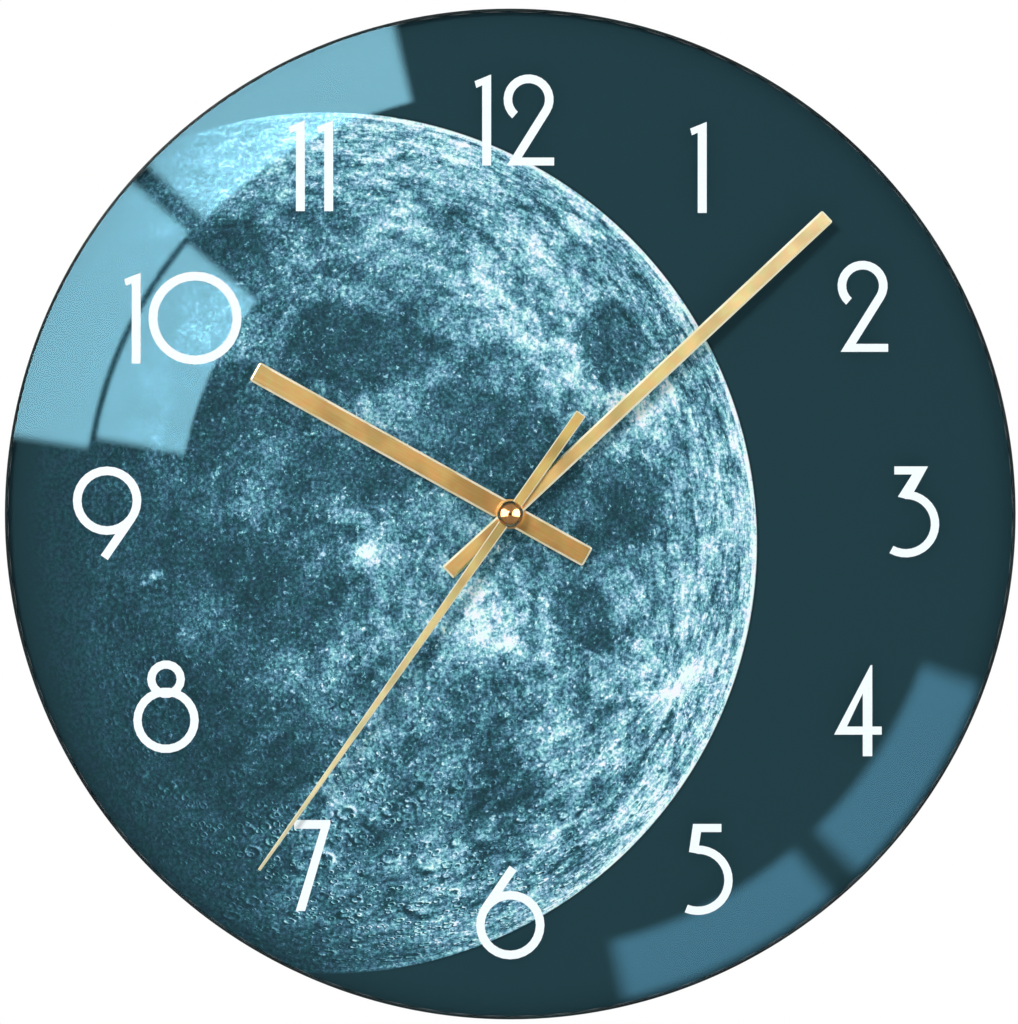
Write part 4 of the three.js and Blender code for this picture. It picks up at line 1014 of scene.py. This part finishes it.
# A flat bar pointing to twelve, cut across at the pivot so that its halves taper apart, with its front
# inset to leave a slanting bevel all round
def makeHand(name):
    size = hands[name]
    low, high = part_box(size["node"])
    bladeFront = low.y if name == "second" else low.y + handMake["collarProud"] * mm
    bladeBack = bladeFront + size["blade"] * mm
    rise = size["rise"] * mm
    slabFront = bladeFront + rise
    reach = size["reach"] * mm
    tail = size["tail"] * mm
    middle = size["middleHalf"] * mm
    bpy.ops.object.select_all(action="DESELECT")
    bpy.ops.mesh.primitive_cube_add(size=1, location=(0, (slabFront + bladeBack) / 2, (reach - tail) / 2))
    bar = bpy.context.object
    bar.scale = (2 * middle, bladeBack - slabFront, reach + tail)
    bar = startEdit(name + "Hand")
    bpy.ops.mesh.bisect(plane_co=(0, 0, 0), plane_no=(0, 0, 1))
    for end, half in [(reach, size["tipHalf"] * mm), (-tail, size["tailHalf"] * mm)]:
        selectVertices(bar, lambda co: abs(co.z - end) < 1e-5)
        bpy.ops.transform.resize(value=(half / middle, 1, 1), center_override=(0, 0, end))
    bpy.ops.mesh.select_mode(type="EDGE")
    selectEdges(
        bar,
        lambda a, b: abs(a.y - b.y) > 1e-5 and (abs(a.z - reach) < 1e-5 or abs(a.z + tail) < 1e-5),
    )
    corner = size["corner"] * mm
    bpy.ops.mesh.bevel(offset=corner, offset_type="OFFSET", segments=3, profile=0.5, affect="EDGES")
    bpy.ops.mesh.select_mode(type="FACE")
    selectFaces(bar, lambda face: face.normal.y < -0.99)
    bpy.ops.mesh.inset(thickness=size["edge"] * mm, depth=rise)
    endEdit(merge=1e-7)
    collarFront = bladeFront if name == "second" else low.y
    radius = size["collar"] * mm
    rings = [(0.0, high.y), (radius, high.y), (radius, collarFront), (0.0, collarFront)]
    collar = turnedPiece("collar", rings, handMake["collarSides"])
    roundEdges(collar, handMake["collarRound"] * mm, 2, 40)
    combine(bar, collar, "UNION")
    bore = size["bore"] * mm
    rings = [(0.0, high.y + mm), (bore, high.y + mm), (bore, low.y - mm), (0.0, low.y - mm)]
    combine(bar, turnedPiece("bore", rings, handMake["boreSides"]), "DIFFERENCE")
    bar.rotation_euler = (0, math.radians(size["angle"]), 0)
    only(bar)
    bpy.ops.object.transform_apply(location=True, rotation=True, scale=True)
    smooth(bar, 25)
    dress(bar, name, size["slot"], handMaterial(name, size), size["node"])
    # The slanting bevel faces take the pale colour: partly a polished finish, partly a painted highlight
    bar.data.materials.append(bevelFinishAndHighlight(name, size))
    for face in bar.data.polygons:
        fromPivot = math.hypot(face.center.x, face.center.z)
        if -0.95 < face.normal.y < -0.3 and fromPivot > radius:
            face.material_index = 1


for name in hands:
    makeHand(name)
print("clock: hands made")

# Polished ball over the hands' centre
ball = {
    "radius": 3.85,
    "centreDepth": 33.45,
    "bore": 0.65,
    "rings": 28,
    "sides": 72,
    "lampAngle": 62,
    "lampDistance": 0.8,
    "lampWidth": 1.45,
    "lampHeight": 1.25,
    "lampPower": 62.0,
}


def polishedMaterial():
    material, tree, output, place = newMaterial("polishedBall")
    haze = noise(tree, place, 900.0, 3.0, 0.6).outputs["Fac"]
    colour = colourMix(tree, fade(tree, haze, 0.3, 0.7), tint(146, 100, 54), tint(160, 114, 64))
    surface(
        tree,
        output,
        put(
            tree,
            "ShaderNodeBsdfPrincipled",
            {
                "Base Color": colour,
                "Metallic": 1.0,
                "Roughness": fade(tree, haze, 0.3, 0.7, 0.13, 0.19),
                "Coat Weight": 0.4,
                "Coat Roughness": 0.12,
            },
        ),
    )
    return material


def makeBall():
    low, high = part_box("centre_cap")
    radius = ball["radius"] * mm
    centre = -ball["centreDepth"] * mm
    bore = ball["bore"] * mm
    seat = math.asin((centre - high.y) / radius)
    rings = [(0.0, centre), (bore, centre), (bore, high.y)]
    for index in range(ball["rings"] + 1):
        angle = seat + (math.pi / 2 - seat) * index / ball["rings"]
        rings.append((radius * math.cos(angle), centre - radius * math.sin(angle)))
    piece = turnedPiece("capBall", rings, ball["sides"])
    smooth(piece, 45)
    dress(piece, "second", "polished_brass", polishedMaterial(), "centre_cap")
    return piece


# Two soft lamps that only the ball catches, one from each side
def lightBall(piece):
    lit = bpy.data.collections.new("ballOnly")
    lit.objects.link(piece)
    turn = math.radians(ball["lampAngle"])
    for side in (-1, 1):
        across = side * ball["lampDistance"] * math.sin(turn)
        ahead = -ball["centreDepth"] * mm - ball["lampDistance"] * math.cos(turn)
        lamp = addLamp(f"ballLamp{side}", (across, ahead, 0.0), ball["lampWidth"], ball["lampPower"])
        lamp.data.shape = "ELLIPSE"
        lamp.data.size_y = ball["lampHeight"]
        lamp.light_linking.receiver_collection = lit


lightBall(makeBall())


# Copies of CAD shapes with their edges rounded off
def softCopy(node, name, width, segments, body, slot, material):
    piece = bpy.data.objects.new(name, nodes[node].data.copy())
    bpy.context.collection.objects.link(piece)
    only(piece)
    openEdit()
    bpy.ops.mesh.remove_doubles(threshold=2e-6)
    bpy.ops.mesh.dissolve_limited(angle_limit=math.radians(1))
    bpy.ops.object.mode_set(mode="OBJECT")
    roundEdges(piece, width * mm, segments, 40)
    smooth(piece, 40)
    dress(piece, body, slot, material, node)


softCopy("movement_case", "movementCase", 0.25, 2, "dial_and_movement", "black_plastic", blackPlastic)
softCopy("front_cover", "frontCover", 0.15, 2, "dial_and_movement", "black_plastic", blackPlastic)
softCopy("carrier_plate", "carrierPlate", 0.3, 2, "dial_and_movement", "grey_plastic", greyPlastic)
softCopy("wall_hanger", "wallHanger", 0.12, 2, "dial_and_movement", "steel", steel)
softCopy("mounting_nut", "mountingNut", 0.2, 2, "dial_and_movement", "brass", brass)
softCopy("setting_knob", "settingKnob", 0.15, 2, "knob", "grey_plastic", greyPlastic)
print("clock: case, carrier, hanger and knob softened")

# Pads that hold the foot of the disc off the wall, in mm: they taper in two steps towards the wall
pad = {
    "radius": 8.0,
    "foot": 1.0,
    "footTaper": 0.4,
    "endTaper": 1.2,
    "round": 0.45,
    "hollow": 3.4,
    "hollowDepth": 0.5,
    "sides": 64,
}


def makePad(node, name):
    low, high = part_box(node)
    centre = (low + high) / 2
    radius = pad["radius"] * mm
    hollow = pad["hollow"] * mm
    dip = pad["hollowDepth"] * mm
    rings = [(0.0, low.y), (radius, low.y), (radius - pad["footTaper"] * mm, low.y + pad["foot"] * mm)]
    rings += [(radius - pad["endTaper"] * mm, high.y)]
    rings += [(hollow, high.y), (hollow, high.y - dip), (0.0, high.y - dip)]
    piece = turnedPiece(name, rings, pad["sides"], (centre.x, 0, centre.z))
    roundEdges(piece, pad["round"] * mm, 3, 40)
    smooth(piece, 40)
    dress(piece, "dial_and_movement", "pad_rubber", padRubber, node)


makePad("spacer_left", "padLeft")
makePad("spacer_right", "padRight")

# The cell: a plain sleeve, drawn in over both ends, and a raised contact
cell = {
    "rim": 0.35,
    "nubRadius": 2.75,
    "nubLength": 1.4,
    "nubEdge": 0.25,
    "round": 0.12,
    "sides": 64,
    # the flat end: how far in its dish starts and ends, and how deep it is
    "dishOuter": 1.2,
    "dishInner": 1.6,
    "dishDepth": 0.3,
    # the groove round the contact
    "grooveOuter": 1.1,
    "grooveInner": 1.5,
    "grooveDepth": 0.4,
    # where the sleeve starts and ends, and its grey ring, each as a fade from one place to the other
    "sleeveStart": (0.5, 0.62),
    "sleeveEnd": (1.98, 2.1),
    "ringStart": (7.1, 7.0),
    "ringEnd": (5.4, 5.5),
}


def cellMaterial():
    material, tree, output, place = newMaterial("cellSleeve")
    low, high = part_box("battery")
    parts = put(tree, "ShaderNodeSeparateXYZ", {0: place})
    along = parts.outputs["X"]
    start = [low.x + part * mm for part in cell["sleeveStart"]]
    end, ringStart, ringEnd = (
        [high.x - part * mm for part in cell[key]] for key in ("sleeveEnd", "ringStart", "ringEnd")
    )
    sleeve = calc(tree, "MULTIPLY", fade(tree, along, *start), fade(tree, along, *end))
    ring = calc(tree, "MULTIPLY", fade(tree, along, *ringStart), fade(tree, along, *ringEnd))
    film = noise(tree, place, 500.0, 3.0).outputs["Fac"]
    colour = colourMix(tree, ring, tint(44, 50, 58), tint(132, 138, 144))
    colour = colourMix(tree, fade(tree, film, 0.3, 0.7, 0.0, 0.25), colour, tint(70, 76, 84))
    colour = colourMix(tree, sleeve, tint(196, 198, 200), colour)
    metal = fade(tree, sleeve, 0.0, 1.0, 1.0, 0.25, "LINEAR")
    surface(
        tree,
        output,
        put(
            tree,
            "ShaderNodeBsdfPrincipled",
            {"Base Color": colour, "Metallic": metal, "Roughness": fade(tree, film, 0.3, 0.7, 0.24, 0.36)},
        ),
    )
    return material


def makeCell():
    low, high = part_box("battery")
    radius = (high.z - low.z) / 2
    nub = cell["nubRadius"] * mm
    shoulder = high.x - cell["nubLength"] * mm
    rim = cell["rim"] * mm
    dish = low.x + cell["dishDepth"] * mm
    groove = shoulder - cell["grooveDepth"] * mm
    nubEdge = cell["nubEdge"] * mm
    rings = [(0.0, dish), (radius - cell["dishInner"] * mm, dish), (radius - cell["dishOuter"] * mm, low.x)]
    rings += [(radius - rim, low.x), (radius, low.x + rim), (radius, shoulder - rim)]
    rings += [(radius - rim, shoulder), (radius - cell["grooveOuter"] * mm, shoulder)]
    rings += [(radius - cell["grooveInner"] * mm, groove), (nub, groove)]
    rings += [(nub, high.x - nubEdge), (nub - nubEdge, high.x), (0.0, high.x)]
    centre = (0.0, (low.y + high.y) / 2, (low.z + high.z) / 2)
    piece = turnedPiece("cell", rings, cell["sides"], centre, alongX=True)
    roundEdges(piece, cell["round"] * mm, 2, 40)
    smooth(piece, 40)
    dress(piece, "battery", "battery_cell", cellMaterial(), "battery")


makeCell()
print("clock: pads and cell made")
